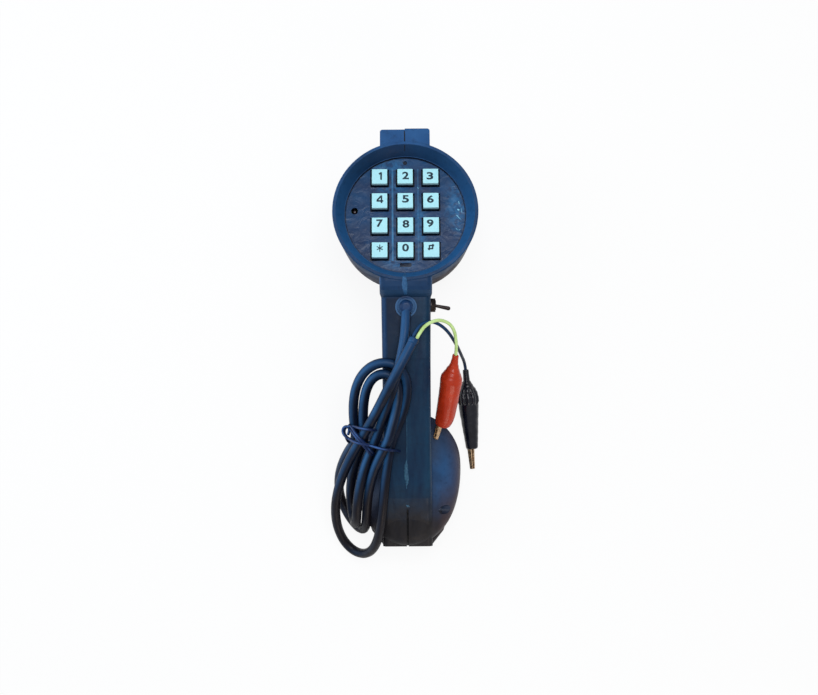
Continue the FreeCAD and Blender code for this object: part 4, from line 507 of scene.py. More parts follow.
FINISHES = {
    "housing": housing_plastic(),
    "plate": plate_plastic(),
    "key": key_plastic(),
    "ink": printed_ink(),
    "cord": cord_jacket("cord_jacket", (11, 17, 30), (19, 28, 46), (44, 86, 130), (28, 25, 28)),
    "black_lead": cord_jacket("black_lead_vinyl", (8, 12, 24), (18, 24, 42), (46, 80, 126), (22, 22, 26)),
    "green_lead": soft_vinyl("green_lead_vinyl", (172, 200, 118), (204, 232, 158), 6, 0.36),
    "red_rubber": soft_vinyl("red_clip_vinyl", (160, 46, 24), (182, 58, 32), 9, 0.26, 0.28),
    "black_rubber": soft_vinyl("black_clip_vinyl", (11, 14, 24), (21, 24, 34), 8, 0.24, 0.42),
    "tie_wire": cord_jacket("tie_wire_vinyl", (14, 24, 48), (26, 44, 82), (62, 98, 156), (20, 28, 50)),
    "grommet": grommet_rubber(),
    # Painted glints: the pale colour of the plate's flow marks.
    "flow_mark_glint": plain_plastic("flow_mark_glint", (84, 150, 186), (150, 206, 226), 0.8, 0.2),
    "seam_glue": plain_plastic("seam_glue", (40, 76, 116), (58, 100, 140), 2.2, 0.34),
    "seam_line": plain_plastic("seam_line", (34, 64, 88), (58, 96, 120), 1.6, 0.42),
    # Near-black: the seam's grooves, and painted shade in the heel's slot.
    "seam_groove": plain_plastic("seam_groove", (5, 7, 12), (10, 14, 22), 3, 0.5),
    "cap": plain_plastic("cap_plastic", (22, 28, 34), (30, 38, 46), 9, 0.46),
    "capsule": plain_plastic("capsule_plastic", (44, 46, 50), (58, 60, 64), 4, 0.6),
    "component": plain_plastic("component_case", (26, 27, 30), (38, 39, 43), 3, 0.55),
    "gasket": plain_plastic("gasket_foam", (30, 30, 31), (44, 43, 42), 1.2, 0.8),
    "mat": plain_plastic("mat_rubber", (190, 194, 188), (208, 211, 204), 5, 0.62),
    "lamp": dark_lens(),
    "board": board_laminate(),
    "bright_metal": worn_metal("bright_metal", (62, 57, 57), (40, 30, 23), 0.43),
    "steel": worn_metal("blackened_steel", (46, 50, 60), (28, 28, 32), 0.46, (1, 0.2, 1)),
    "jaw": worn_metal("jaw_plating", (196, 168, 136), (62, 50, 40), 0.3, (1, 0.15, 1)),
}


def dress_nodes():
    """Gives every CAD node the finish of its slot in the record."""
    for subpart in frame["record"]["subparts"]:
        materials = nodes[subpart["node"]].data.materials
        materials.clear()
        materials.append(FINISHES[subpart["material_slot"]].material)


# Floor, lights and surround, in metres: each light's name, place, turn, size, watts and colour

FLOOR_HALF_WIDTH = 3
FLOOR_GLOW = 0.88
LIGHTS = (
    ("overhead", (0.08, 0.22, 0.95), (-0.24, 0.08, 0), 0.5, 5, (0.94, 0.97, 1)),
    ("left_side", (-0.8, 0.1, 0.5), (0, -1.0, 0), 0.4, 2.2, (0.8, 0.9, 1)),
    ("heel_side", (0.25, -0.85, 0.4), (1.12, 0, 0.28), 0.4, 1.6, (1, 0.84, 0.7)),
)
AMBIENT, AMBIENT_STRENGTH = (0.9, 0.95, 1, 1), 0.5
MIRRORED, CAMERA_STRENGTH = (0.55, 0.55, 0.55, 1), 1.78


def seen_directly(tree):
    """One for what the camera, a mirror or glass shows, nought for light on other things."""
    path = add_node(tree, "ShaderNodeLightPath")
    share = path.outputs["Is Camera Ray"]
    for ray in ("Is Glossy Ray", "Is Transmission Ray"):
        rays = {0: share, 1: path.outputs[ray]}
        share = add_node(tree, "ShaderNodeMath", rays, operation="MAXIMUM").outputs["Value"]
    return share


def blend_shaders(tree, share, first, second, output):
    """Two shaders in shares, fed to the tree's output."""
    blend = add_node(tree, "ShaderNodeMixShader", {0: share, 1: first, 2: second})
    tree.links.new(blend.outputs["Shader"], tree.nodes[output].inputs["Surface"])


def make_floor():
    """A pale plain floor that keeps a soft shadow."""
    mesh = bmesh.new()
    bmesh.ops.create_grid(mesh, x_segments=1, y_segments=1, size=FLOOR_HALF_WIDTH)
    data = bpy.data.meshes.new("floor")
    mesh.to_mesh(data)
    mesh.free()
    material = bpy.data.materials.new("floor_paint")
    material.use_nodes = True
    tree = material.node_tree
    shader = tree.nodes["Principled BSDF"]
    shader.inputs["Base Color"].default_value = (0.86, 0.86, 0.86, 1)
    shader.inputs["Roughness"].default_value = 0.9
    share = add_node(tree, "ShaderNodeMath", {0: seen_directly(tree), 1: FLOOR_GLOW}, operation="MULTIPLY")
    glow = add_node(tree, "ShaderNodeEmission").outputs["Emission"]
    blend_shaders(tree, share.outputs["Value"], shader.outputs["BSDF"], glow, "Material Output")
    data.materials.append(material)
    placed("floor", data)


def make_light():
    """Soft light from overhead, cooler from the left, warmer from the heel, and a pale surround."""
    for name, place, turn, size, watts, colour in LIGHTS:
        data = bpy.data.lights.new(name, "AREA")
        data.size, data.energy, data.color = size, watts, colour
        lamp = placed(name, data)
        lamp.location, lamp.rotation_euler = place, turn
    world = bpy.data.worlds.new("surround")
    bpy.context.scene.world = world
    world.use_nodes = True
    tree = world.node_tree
    ambient = tree.nodes["Background"]
    ambient.inputs["Color"].default_value = AMBIENT
    ambient.inputs["Strength"].default_value = AMBIENT_STRENGTH
    by_camera = add_node(tree, "ShaderNodeLightPath").outputs["Is Camera Ray"]
    brighter = {"Value": by_camera, "To Min": 1, "To Max": CAMERA_STRENGTH}
    strength = add_node(tree, "ShaderNodeMapRange", brighter)
    pale = add_node(tree, "ShaderNodeBackground", {"Color": MIRRORED, "Strength": strength.outputs["Result"]})
    views = ambient.outputs["Background"], pale.outputs["Background"]
    blend_shaders(tree, seen_directly(tree), *views, "World Output")
    bpy.context.scene.view_settings.view_transform = "Standard"


# Clips, laid as the solids: place in millimetres, then yaw, pitch and roll in degrees, then how far the
# boot's middle stands aside at the pivot, how fast that grows along the clip, and its limit

CLIPS = {
    "red": ((23.5, -40.5, 32.2), (-104, 25, -30), (1.33, 0.083, 1.7)),
    "black": ((40.2, -59.5, 5.4), (-85.5, 5, 40), (1, 0, 1)),
}

# Leads: points on the way, then the clip and the last points in its frame

LEADS = {
    "green": (
        [(11.6, 9.3, 64.6), (19.8, 12.6, 61), (28.4, 8.4, 55.6)],
        "red",
        [(-40.8, 0, 0), (-29, 0, 0), (-22.6, 0, -4)],
    ),
    "black": (
        [(9.3, 10.2, 63), (16.3, 11.3, 59.5), (24.2, 6.5, 53), (30.6, -2.6, 40), (34.4, -9.2, 24)],
        "black",
        [(-44.7, 0, 0), (-32, 0, 0), (-26.2, 0, -0.9), (-22.6, 0, -4)],
    ),
}
LEAD_SPREAD = 1.2
LEAD_STRAIGHT = 5


def clip_place(colour):
    """The clip's own frame, in millimetres: +X to the nose, the pivot at its origin."""
    spot, turns, _ = CLIPS[colour]
    yaw, pitch, roll = (math.radians(turn) for turn in turns)
    return Matrix.Translation(spot) @ Euler((roll, pitch, yaw)).to_matrix().to_4x4()


def lean(colour, x):
    """How far the middle of a boot stands beside its clip, at a place along it, in the clip's frame."""
    at_pivot, growth, limit = CLIPS[colour][2]
    turn = clip_place(colour).to_3x3()
    ahead = turn @ Vector((1, 0, 0))
    beside = turn.transposed() @ Vector((-ahead.y, ahead.x, 0)).normalized()
    return beside * min(limit, at_pivot + growth * x)


def make_cords():
    cord = smooth_cord("cord", cord_route(), CORD_RADIUS, "cord")
    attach(cord, "handset")
    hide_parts("cord_tail", "cord_hank", "cord_end")
    made = {"cord": (cord, (CORD_EXIT, 0.861, 0.0058, "bare", "medium", "coiled"))}
    aside = END_HEADING.cross(Vector((0, 0, 1))).normalized() * LEAD_SPREAD
    for name, side, length in (("green", 1, 0.065), ("black", -1, 0.103)):
        runs, clip, inside = LEADS[name]
        start = END_SPOT + aside * side
        ends = [Vector(point) + lean(clip, point[0]) for point in inside[:-1]] + [Vector(inside[-1])]
        ends = [clip_place(clip) @ point for point in ends]
        route = [start, start + END_HEADING * LEAD_STRAIGHT, *runs, *ends]
        lead = smooth_cord(f"lead_{name}_shown", route, LEAD_RADIUS, f"{name}_lead")
        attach(lead, "handset")
        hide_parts(f"lead_{name}")
        made[clip] = (lead, (start, length, 0.002, "connector", "limp", "hanging"))
    return made


def declare_cords(made, on_cord):
    """Goes through each cord's exit and the pieces on it; nothing is kept of them."""
    for name, (cord, (start, length, diameter, far_end, stiffness, lay)) in made.items():
        mm(*start)
        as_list(on_cord[name])


# Pieces of mesh, and surfaces to lay them on

ABOVE_ALL = 200


def plain_mesh(thing):
    """A thing as it stands, as a mesh of its own."""
    bpy.context.view_layer.update()
    held = thing.evaluated_get(bpy.context.evaluated_depsgraph_get())
    return bpy.data.meshes.new_from_object(held)


def skin(*things):
    """Everything that lies under a point, as one tree of faces."""
    points, faces = [], []
    for thing in things:
        mesh = plain_mesh(thing)
        first = len(points)
        points += [point.co.copy() for point in mesh.vertices]
        faces += [[first + index for index in face.vertices] for face in mesh.polygons]
        bpy.data.meshes.remove(mesh)
    return BVHTree.FromPolygons(points, faces)


def level(under, x, y):
    """Height of a surface under a point, all in millimetres."""
    spot = under.ray_cast(mm(x, y, ABOVE_ALL), Vector((0, 0, -1)))[0]
    return spot.z / MM if spot else None


def shown(name, data, finish, body="handset", smooth=True):
    """A piece of finished mesh data, which rides on a body."""
    if smooth:
        data.shade_smooth()
    data.materials.clear()
    data.materials.append(FINISHES[finish].material)
    thing = placed(name, data)
    if body:
        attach(thing, body)
    return thing


def finished(name, mesh, finish, body="handset", smooth=True):
    """A piece of a mesh given in millimetres, which rides on a body."""
    mesh.transform(Matrix.Scale(MM, 4))
    bmesh.ops.recalc_face_normals(mesh, faces=mesh.faces)
    data = bpy.data.meshes.new(name)
    mesh.to_mesh(data)
    mesh.free()
    return shown(name, data, finish, body, smooth)


def closed_rings(rings, ends=True, mesh=None):
    """A mesh of faces between rings of points; the first and last ring are filled or joined."""
    if mesh is None:
        mesh = bmesh.new()
    lines = [[mesh.verts.new(spot) for spot in ring] for ring in rings]
    count = len(lines[0])
    pairs = list(zip(lines, lines[1:]))
    if not ends:
        pairs.append((lines[-1], lines[0]))
    for before, after in pairs:
        for i in range(count):
            mesh.faces.new((before[i], before[(i + 1) % count], after[(i + 1) % count], after[i]))
    if ends:
        mesh.faces.new(lines[0])
        mesh.faces.new(reversed(lines[-1]))
    return mesh


# Strips: spacing of their rings, points across, rings over which an end rises, and depth in the surface

STRIP_STEP, STRIP_POINTS, STRIP_RAMP, STRIP_SUNK = 0.5, 7, 3, 0.12


def strip(name, under, stations, lift, finish, ragged):
    """A low strip along a surface, from stations of x, y and half width in millimetres."""
    spots = []
    for before, after in zip(stations, stations[1:]):
        steps = max(1, round((Vector(after[:2]) - Vector(before[:2])).length / STRIP_STEP))
        spots += [Vector(before).lerp(Vector(after), i / steps) for i in range(steps)]
    spots.append(Vector(stations[-1]))
    last = len(spots) - 1
    rings = []
    for i, (x, y, half) in enumerate(spots):
        ahead, behind = spots[min(i + 1, last)], spots[max(i - 1, 0)]
        run = Vector((ahead.x - behind.x, ahead.y - behind.y)).normalized()
        half *= 1 + ragged * noise.noise(Vector((x, y, 3)) * 1.1)
        crown = lift * min(1, (min(i, last - i) + 0.3) / STRIP_RAMP)
        upper, lower = [], []
        for column in range(STRIP_POINTS):
            share = column / (STRIP_POINTS - 1) * 2 - 1
            px, py = x - run.y * half * share, y + run.x * half * share
            ground = level(under, px, py)
            rise = crown * (1 - share * share) * (1 + ragged * noise.noise(Vector((px, py, 9))))
            upper.append((px, py, ground + rise + 0.01))
            lower.append((px, py, ground - STRIP_SUNK))
        rings.append(upper + lower[::-1])
    return finished(name, closed_rings(rings), finish)


# Key legends: what each key says and the middle of it, in millimetres

LEGENDS = {
    "key_2": ("2", (0.3, 99.6)),
    "key_3": ("3", (15, 99.3)),
    "key_5": ("5", (0.2, 85)),
    "key_6": ("6", (15.1, 84.8)),
    "key_7": ("7", (-15.4, 70.1)),
    "key_8": ("8", (0.3, 69.6)),
    "key_9": ("9", (14.8, 69.9)),
    "key_0": ("0", (0, 55.1)),
}
ONE_BARS = [((0.55, -2.35), (0.55, 2.35)), ((0.62, 2), (-0.75, 1.2))]
FOUR_BARS = [((0.95, -2.35), (0.95, 2.35)), ((0.8, 2.1), (-1.75, -0.75)), ((-2, -1.05), (2, -1.05))]
HASH_BARS = [
    ((-1.9, -1.1), (1.2, -0.9)),
    ((-1.2, 0.9), (1.9, 1.1)),
    ((-1.1, -1.9), (-0.9, 1.2)),
    ((0.9, -1.2), (1.2, 1.9)),
]
STAR_ARMS = [(90, 4.3), (30, 4.1), (150, 4.1)]
DIGIT_WIDTH, DIGIT_HEIGHT = 4, 4.7
INK_TOP, INK_FOOT, INK_STEP = 0.035, -0.02, 0.003


def digit_shape(sign):
    """A digit as a flat closed shape, round its own middle."""
    curve = bpy.data.curves.new(f"digit_{sign}", "FONT")
    curve.body = sign
    curve.offset, curve.extrude, curve.resolution_u = 0.032, 0.006, 6
    text = placed(f"digit_{sign}", curve)
    mesh = bmesh.new()
    mesh.from_mesh(plain_mesh(text))
    bpy.data.objects.remove(text)
    bmesh.ops.remove_doubles(mesh, verts=mesh.verts, dist=1e-5)
    low = [min(point.co[axis] for point in mesh.verts) for axis in range(2)]
    high = [max(point.co[axis] for point in mesh.verts) for axis in range(2)]
    for point in mesh.verts:
        point.co.x = ((point.co.x - low[0]) / (high[0] - low[0]) - 0.5) * DIGIT_WIDTH
        point.co.y = ((point.co.y - low[1]) / (high[1] - low[1]) - 0.5) * DIGIT_HEIGHT
        point.co.z = INK_TOP if point.co.z > 0 else INK_FOOT
    return mesh


def bars_shape(bars, width):
    """Straight flat bars, each from one point to another, a hair apart in height where they cross."""
    mesh = bmesh.new()
    for i, (start, end) in enumerate(bars):
        run = (Vector(end) - Vector(start)).normalized() * width / 2
        side = Vector((-run.y, run.x))
        corners = [Vector(start) - side, Vector(end) - side, Vector(end) + side, Vector(start) + side]
        top = INK_TOP + i * INK_STEP
        closed_rings([[(*corner, height) for corner in corners] for height in (INK_FOOT, top)], mesh=mesh)
    return mesh


def make_legends():
    """The printed digits, star and hash, each laid on its own key and moving with it."""
    shapes = {key: (digit_shape(sign), spot) for key, (sign, spot) in LEGENDS.items()}
    arms = []
    for angle, length in STAR_ARMS:
        reach = Vector((math.cos(math.radians(angle)), math.sin(math.radians(angle)))) * length / 2
        arms.append((-reach, reach))
    shapes["key_1"] = (bars_shape(ONE_BARS, 1.05), (-15, 99.4))
    shapes["key_4"] = (bars_shape(FOUR_BARS, 0.95), (-15.2, 84.9))
    shapes["key_star"] = (bars_shape(arms, 0.55), (-15.3, 54.9))
    shapes["key_hash"] = (bars_shape(HASH_BARS, 0.85), (15.1, 55.3))
    for key, (mesh, (x, y)) in shapes.items():
        under = skin(nodes[key])
        for point in mesh.verts:
            point.co.x += x
            point.co.y += y
            point.co.z += level(under, point.co.x, point.co.y)
        finished(f"{key}_legend", mesh, "ink", key, smooth=False)


# Soft boots of the clips: stations along the clip and radii, in millimetres

RED_PROFILE = [
    (-35.5, 1.65), (-35.2, 1.95), (-33, 2), (-30.5, 2.35), (-27.8, 3.1), (-25.2, 4.3), (-22.6, 5.7),
    (-20.4, 6.6), (-18, 6.85), (-15, 6.7), (-11.4, 6.5), (-6, 6.4), (0, 6.2), (5, 6), (8.5, 5.75),
    (10.5, 5.45), (12.1, 5), (12.9, 4.7), (13.2, 4.4),
]
BLACK_PROFILE = [
    (-41, 1.6), (-40.7, 1.9), (-38, 1.95), (-34, 2.15), (-32.7, 2.9), (-30.6, 4), (-28, 5.45), (-25.3, 6.4),
    (-22.7, 6.8), (-20.2, 6.8), (-19.6, 6.45), (-17.4, 6.4), (-12.2, 6.1), (-6.9, 5.5), (-1.6, 5), (3.6, 4.5),
    (8.3, 4.05), (10, 3.85), (10.6, 3.5),
]
BOOT_RINGS, BOOT_AROUND = 150, 112
BOOT_WALL, BOOT_BORE, BOOT_BORE_RADIUS = 0.7, 2.6, 1.05
BOOT_TURN = (-1.5, 2.4)
SPRING_TURN = (-0.4, 1.2)


def between_stations(profile, x):
    """Radius of a profile at a place along it, smoothly from station to station."""
    for (before, low), (after, high) in zip(profile, profile[1:]):
        if x <= after:
            share = (x - before) / (after - before)
            return low + (high - low) * share * share * (3 - 2 * share)
    return profile[-1][1]


def window(x, start, full, last, end):
    """Nought outside, one inside, with soft edges."""
    rise = min(1, max(0, (x - start) / (full - start)))
    fall = min(1, max(0, (end - x) / (end - last)))
    return min(rise, fall)


def side_seam(angle, height):
    """A fine ridge along each side."""
    return height * math.exp(-((math.sin(angle) / 0.09) ** 2))


def red_dents(x, angle):
    """Slack vinyl: soft dents, a seam along each side, a fold and a crease behind the shoulder."""
    dent = 0.22 * noise.noise(Vector((x * 0.16, math.cos(angle) * 1.6, math.sin(angle) * 1.6)))
    fold = -0.35 * window(x, -30.5, -29, -28.6, -27) * max(0, math.cos(angle * 3 + 1.1))
    crease = -0.18 * window(x, -24.5, -23.6, -23.2, -22.2) * max(0, math.cos(angle * 2 - 0.6))
    return dent + side_seam(angle, 0.13) + fold + crease


def black_pleats(x, angle):
    """Gathered pleats over the shoulder that end at a step, soft dents and a seam along each side."""
    wave = abs(math.sin(angle * 5 + 0.2 * math.sin(x * 0.5))) ** 0.4
    pleat = 2 * (wave - 0.8) * window(x, -30, -25, -19.4, -18.5)
    dent = 0.14 * noise.noise(Vector((x * 0.14, math.cos(angle) * 1.5, math.sin(angle) * 1.5 + 7)))
    return pleat + dent + side_seam(angle, 0.1) * window(x, -18, -17, 20, 21)


def make_boot(colour, profile, dents, neck_end):
    """A soft sleeve over the clip's tails, open at its mouth and drawn in round a narrow bore at its rear."""
    rear, mouth = profile[0][0], profile[-1][0]
    xs = [rear + (mouth - rear) * i / BOOT_RINGS for i in range(BOOT_RINGS + 1)]
    angles = [math.tau * i / BOOT_AROUND for i in range(BOOT_AROUND)]

    def ring(x, radii):
        middle = lean(colour, x)
        turns = zip(angles, radii)
        return [(x + middle.x, middle.y + r * math.cos(a), middle.z + r * math.sin(a)) for a, r in turns]

    rings = []
    for x in xs:
        radius = between_stations(profile, x)
        slack = min(1, (mouth - x) / 1.5, (x - rear) / 1.5, radius / 5)
        rings.append(ring(x, [radius + slack * dents(x, angle) for angle in angles]))
    for x in reversed(xs):
        radius = between_stations(profile, x)
        hollow = 0.3 * window(x, neck_end, neck_end + 3, mouth - 4, mouth)
        inner = max(radius - BOOT_WALL - hollow, min(1.5, radius - 0.5), BOOT_BORE_RADIUS)
        rings.append(ring(x, [BOOT_BORE_RADIUS if x < rear + BOOT_BORE else inner] * BOOT_AROUND))
    mesh = closed_rings(rings, ends=False)
    place = clip_place(colour)
    mesh.transform(place)
    boot = finished(f"{colour}_boot_shown", mesh, f"{colour}_rubber", body=None)
    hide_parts(f"{colour}_boot")
    heading = (place.to_3x3() @ Vector((0.2, 0, 1))).normalized()
    start, end = (place @ Vector((0, 0, 0)) + heading * reach for reach in BOOT_TURN)
    mm(*start)
    mm(*end)
    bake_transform(boot)
    return boot


def make_spring(colour):
    """The clip's spring, as a piece of mesh of its own in place of its node."""
    node = nodes[f"{colour}_jaw_spring"]
    mesh = bmesh.new()
    mesh.from_mesh(node.data)
    mesh.transform(Matrix.Scale(1 / MM, 4) @ node.matrix_world)
    spring = finished(f"{colour}_spring_shown", mesh, "steel", body=None)
    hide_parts(f"{colour}_jaw_spring")
    start, end = (clip_place(colour) @ Vector((0, 0, height)) for height in SPRING_TURN)
    mm(*start)
    mm(*end)
    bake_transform(spring)
    return spring


def jaw_pieces(clip):
    """The shown spring of a clip and its rigid nodes."""
    return [make_spring(clip), f"{clip}_fixed_jaw", f"{clip}_moving_jaw", f"{clip}_pivot_pin"]


# Torn end of the cord's jacket: reach past the cord's end and radius of each ring, in millimetres

JACKET_END = [(-2.6, 2.97), (-1.2, 3.1), (0.2, 3.08), (1.4, 2.95), (1.5, 2.4), (-0.4, 2.3), (-0.6, 1.2)]
JACKET_AROUND, JACKET_TORN, JACKET_UNEVEN = 48, 1.3, 0.05


def make_jacket_end():
    """The torn end of the cord's jacket, round the two leads."""
    turn = END_HEADING.to_track_quat("Z", "Y").to_matrix()
    rings = []
    for reach, radius in JACKET_END:
        ring = []
        for i in range(JACKET_AROUND):
            angle = math.tau * i / JACKET_AROUND
            x, y = math.cos(angle), math.sin(angle)
            torn = JACKET_TORN * noise.noise(Vector((x * 1.7, y * 1.7, 4))) if reach > 1 else 0
            wide = radius * (1 + JACKET_UNEVEN * noise.noise(Vector((x * 2, y * 2, reach))))
            ring.append(END_SPOT + turn @ Vector((wide * x, wide * y, reach + torn)))
        rings.append(ring)
    piece = finished("jacket_end", closed_rings(rings), "cord")
    return piece


# Wire tie of the hank: its runs in millimetres, without a height where a run lies on what is below it

TIE_RUNS = [
    [(-4.6, -66.6, 48.6), (-6.2, -65.6, 52.3), (-9, -64.7, None), (-12.6, -64, None), (-16.8, -63.2, None),
     (-21.3, -62.3, None), (-25.6, -61.2, None), (-30, -60.4, None), (-34.6, -59.3, 46.6), (-37.2, -57.6, 45),
     (-38.2, -55, 44.6), (-37.4, -52.4, 45.6), (-35, -51.2, 48), (-32, -51.4, None), (-28.4, -51.5, None),
     (-24.1, -51.9, None), (-20, -52.6, None), (-16.6, -53.4, 52), (-15.4, -53.8, 48.2)],
    [(-34.8, -50.8, 46.2), (-33.2, -51.8, 49.4), (-30.4, -54.8, None), (-27, -58.6, None),
     (-23.8, -62.6, None), (-20.8, -66.4, None), (-19, -68.2, 49.6), (-18.2, -69.2, 46)],
    [(-35.4, -52.4, 44), (-34, -53.2, 48.6), (-31, -56, None), (-27.8, -59.8, None), (-24.7, -63.7, None),
     (-21.9, -67.3, None), (-20.2, -69, 49.4), (-19.6, -70, 45.8)],
    [(-35.6, -58.8, 46.2), (-37.6, -57.2, 46.6), (-39, -54.6, 46), (-38, -51.8, 46.8), (-35.6, -51.4, 47.4),
     (-34.4, -53.6, 47), (-35.6, -56.6, 46)],
    [(-37.2, -57.6, 43.4), (-36.6, -60.6, 41.6), (-34.4, -62.4, 38.4), (-30, -62.2, 36.6),
     (-24.6, -61.4, 40.4), (-19.6, -61, 46.2), (-14, -61, 47.9)],
]
TIE_RADIUS, TIE_CLEAR, TIE_BRIDGE = 0.9, 0.85, 1.7


def highest(under, x, y, reach):
    """The highest level within a reach, so that a taut wire bridges the gaps between strands."""
    spots = [(x + reach * across, y + reach * along) for across in (-1, 0, 1) for along in (-1, 0, 1)]
    return max(level(under, *spot) or 0 for spot in spots)


def make_tie(cord):
    """A thin covered wire, twisted into an eye beside the hank and laid over and under its strands."""
    under = skin(cord, nodes["left_shell"], nodes["right_shell"])
    meshes = []
    for i, run in enumerate(TIE_RUNS):
        route = [(x, y, highest(under, x, y, TIE_BRIDGE) + TIE_CLEAR if z is None else z) for x, y, z in run]
        wire = smooth_cord(f"tie_run_{i}", route, TIE_RADIUS, "tie_wire")
        meshes.append(plain_mesh(wire))
        bpy.data.objects.remove(wire)
    mesh = bmesh.new()
    for part in meshes:
        mesh.from_mesh(part)
    mesh.transform(Matrix.Scale(1 / MM, 4))
    tie = finished("tie_shown", mesh, "tie_wire")
    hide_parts("cord_tie")
    return tie


# Glue, flash and grooves on the seams: finish, lift, raggedness, and stations of x, y and half width

SEAM_STRIPS = {
    "collar_bead": ("seam_glue", 0.55, 0.25, [
        (-0.5, 40.2, 0.5), (-0.6, 38, 1), (-0.75, 34.5, 1.5), (-0.6, 31.2, 1.6), (-0.3, 28.6, 1.25),
        (-0.2, 27, 0.7),
    ]),
    "seam_flash": ("seam_line", 0.1, 0.2, [
        (-0.1, -36.5, 0.12), (-0.15, -54, 0.18), (-0.1, -60, 0.14), (-0.3, -73.5, 0.2),
    ]),
    "glue_drop": ("seam_line", 0.3, 0.6, [
        (-0.5, -72.6, 0.25), (-0.7, -75.4, 0.8), (-0.75, -79.4, 1.2), (-0.5, -82.8, 1.3), (-0.2, -85.4, 0.9),
        (-0.5, -87.8, 0.5), (-0.5, -90, 0.2),
    ]),
    "slot_chip": ("seam_line", 0.3, 0.9, [
        (-0.9, -100.4, 0.25), (-0.1, -101, 0.8), (0.8, -101.3, 0.5), (1.2, -101.7, 0.2),
    ]),
    "tab_groove": ("seam_groove", 0.02, 0.3, [(-0.2, 126.8, 0.3), (-0.1, 124, 0.34), (-0.1, 119.6, 0.38)]),
    "rim_groove": ("seam_groove", 0.02, 0.3, [(-0.1, 118.4, 0.3), (-0.1, 116.8, 0.26), (-0.1, 114.8, 0.2)]),
}
SLOT_START, SLOT_STEP, SLOT_STEPS = -101.6, 0.48, 76
SLOT_HALF, SLOT_BESIDE, SLOT_DEPTH = 0.62, 2.4, 1.5


def make_seam_marks():
    """What the two halves' seam shows: glue, flash, a chip and grooves."""
    under = skin(nodes["left_shell"], nodes["right_shell"])
    for name, (finish, lift, ragged, stations) in SEAM_STRIPS.items():
        strip(name, under, stations, lift, finish, ragged)


def make_slot_shade():
    """A near-black sheet in the heel's slot, some way under the surface: painted shade."""
    under = skin(nodes["left_shell"], nodes["right_shell"])
    rings = []
    for i in range(SLOT_STEPS):
        y = SLOT_START - i * SLOT_STEP
        sides = [level(under, x, y) for x in (-SLOT_BESIDE, SLOT_BESIDE)]
        if None in sides:
            break
        z = min(sides) - SLOT_DEPTH
        across = (-SLOT_HALF, -0.3, 0, 0.3, SLOT_HALF)
        upper = [(x, y, z + 0.3 * noise.noise(Vector((x * 2, y * 0.8, 5)))) for x in across]
        rings.append(upper + [(SLOT_HALF, y, z - 0.9), (0, y, z - 1), (-SLOT_HALF, y, z - 0.9)])
    finished("slot_shade", closed_rings(rings), "seam_groove")


# Flow marks of the keypad plate, pale with painted glints, as stations of x, y and half width

FLOW_MARKS = [
    [(32.1, 84, 0.15), (32.5, 83, 0.3), (32.6, 82, 0.12)],
    [(31.2, 78.9, 0.25), (31.9, 78.6, 0.6), (32.7, 78.5, 0.3)],
    [(33.6, 79.6, 0.12), (34, 78, 0.2), (34, 76.8, 0.1)],
    [(30.6, 75.4, 0.2), (31.6, 74.6, 0.3), (32.6, 73.2, 0.22), (33.6, 72.6, 0.12)],
    [(30.4, 67.2, 0.12), (31.2, 66.2, 0.22), (32.4, 66, 0.22), (33, 66.8, 0.12)],
    [(7.2, 93, 0.12), (8, 92, 0.25), (8.6, 92.6, 0.12)],
]
FLOW_LIFT, FLOW_RAGGED = 0.22, 0.4


def make_flow_marks():
    """Raised marks of the mould, pale with painted glints, most of them beside the right column of keys."""
    under = skin(nodes["keypad_plate"])
    for i, stations in enumerate(FLOW_MARKS):
        strip(f"flow_mark_glint_{i + 1}", under, stations, FLOW_LIFT, "flow_mark_glint", FLOW_RAGGED)


# Grip ribs of the two caps: each rim's middle and tilt, then the ribs' upper end from it and their length

CAP_RIBS = (
    ("ear_cap_ribs", HEAD_MIDDLE, -HEAD_TILT, -42.6, 7.4),
    ("mouth_cap_ribs", MOUTH_MIDDLE, MOUTH_TILT, -0.8, 3.4),
)
RIB_COUNT, RIB_CIRCLE, RIB_THICKNESS = 84, 30.95, 0.55
RIB_INPUTS = dict(Count="Int", Circle="Float", Length="Float", Thickness="Float", Finish="Material")


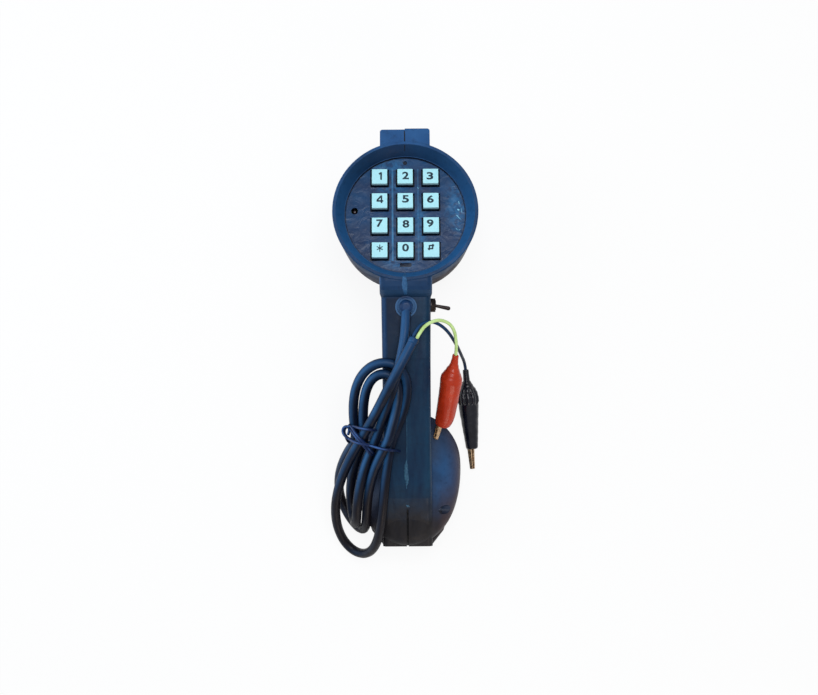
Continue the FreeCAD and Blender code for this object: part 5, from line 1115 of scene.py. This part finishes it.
def ribs_tree():
    """Rounded ribs on a circle, as one tree of geometry nodes."""
    tree = bpy.data.node_groups.new("grip_ribs", "GeometryNodeTree")
    tree.interface.new_socket("Geometry", in_out="OUTPUT", socket_type="NodeSocketGeometry")
    for name, kind in RIB_INPUTS.items():
        tree.interface.new_socket(name, in_out="INPUT", socket_type=f"NodeSocket{kind}")

    def add(kind, output, inputs):
        return add_node(tree, kind, inputs).outputs[output]

    given = add_node(tree, "NodeGroupInput").outputs
    circle = add("GeometryNodeMeshCircle", "Mesh", {"Vertices": given["Count"], "Radius": given["Circle"]})
    sizes = {"Vertices": 8, "Radius": given["Thickness"], "Depth": given["Length"]}
    bar = add("GeometryNodeMeshCylinder", "Mesh", sizes)
    rib = add("GeometryNodeSetShadeSmooth", "Geometry", {"Geometry": bar})
    laid = add("GeometryNodeInstanceOnPoints", "Instances", {"Points": circle, "Instance": rib})
    whole = add("GeometryNodeRealizeInstances", "Geometry", {"Geometry": laid})
    dressed = add("GeometryNodeSetMaterial", "Geometry", {"Geometry": whole, "Material": given["Finish"]})
    add_node(tree, "NodeGroupOutput", {"Geometry": dressed})
    return tree


def make_grip_ribs():
    """Ribs round the side of the ear cap and of the mouth cap."""
    tree = ribs_tree()
    sockets = {item.name: item.identifier for item in tree.interface.items_tree if item.in_out == "INPUT"}
    for name, middle, tilt, top, length in CAP_RIBS:
        carrier = placed(name, bpy.data.meshes.new(name))
        modifier = carrier.modifiers.new("ribs", "NODES")
        modifier.node_group = tree
        values = RIB_COUNT, RIB_CIRCLE * MM, length * MM, RIB_THICKNESS * MM, FINISHES["cap"].material
        for label, value in zip(RIB_INPUTS, values):
            modifier[sockets[label]] = value
        data = plain_mesh(carrier)
        bpy.data.objects.remove(carrier)
        data.transform(Matrix.Translation((0, 0, (top - length / 2) * MM)))
        data.transform(Matrix.Translation(middle * MM) @ Matrix.Rotation(tilt, 4, "X"))
        shown(name, data, "cap", smooth=False)


make_camera()
dress_nodes()
make_floor()
make_light()
cords = make_cords()
tie = make_tie(cords["cord"][0])
red_boot = make_boot("red", RED_PROFILE, red_dents, -33)
black_boot = make_boot("black", BLACK_PROFILE, black_pleats, -30)
on_red, on_black = [red_boot, *jaw_pieces("red")], [black_boot, *jaw_pieces("black")]
declare_cords(cords, {"cord": [tie, make_jacket_end()], "red": on_red, "black": on_black})
make_legends()
make_seam_marks()
# Painted shade in the heel's slot.
make_slot_shade()
make_flow_marks()
make_grip_ribs()
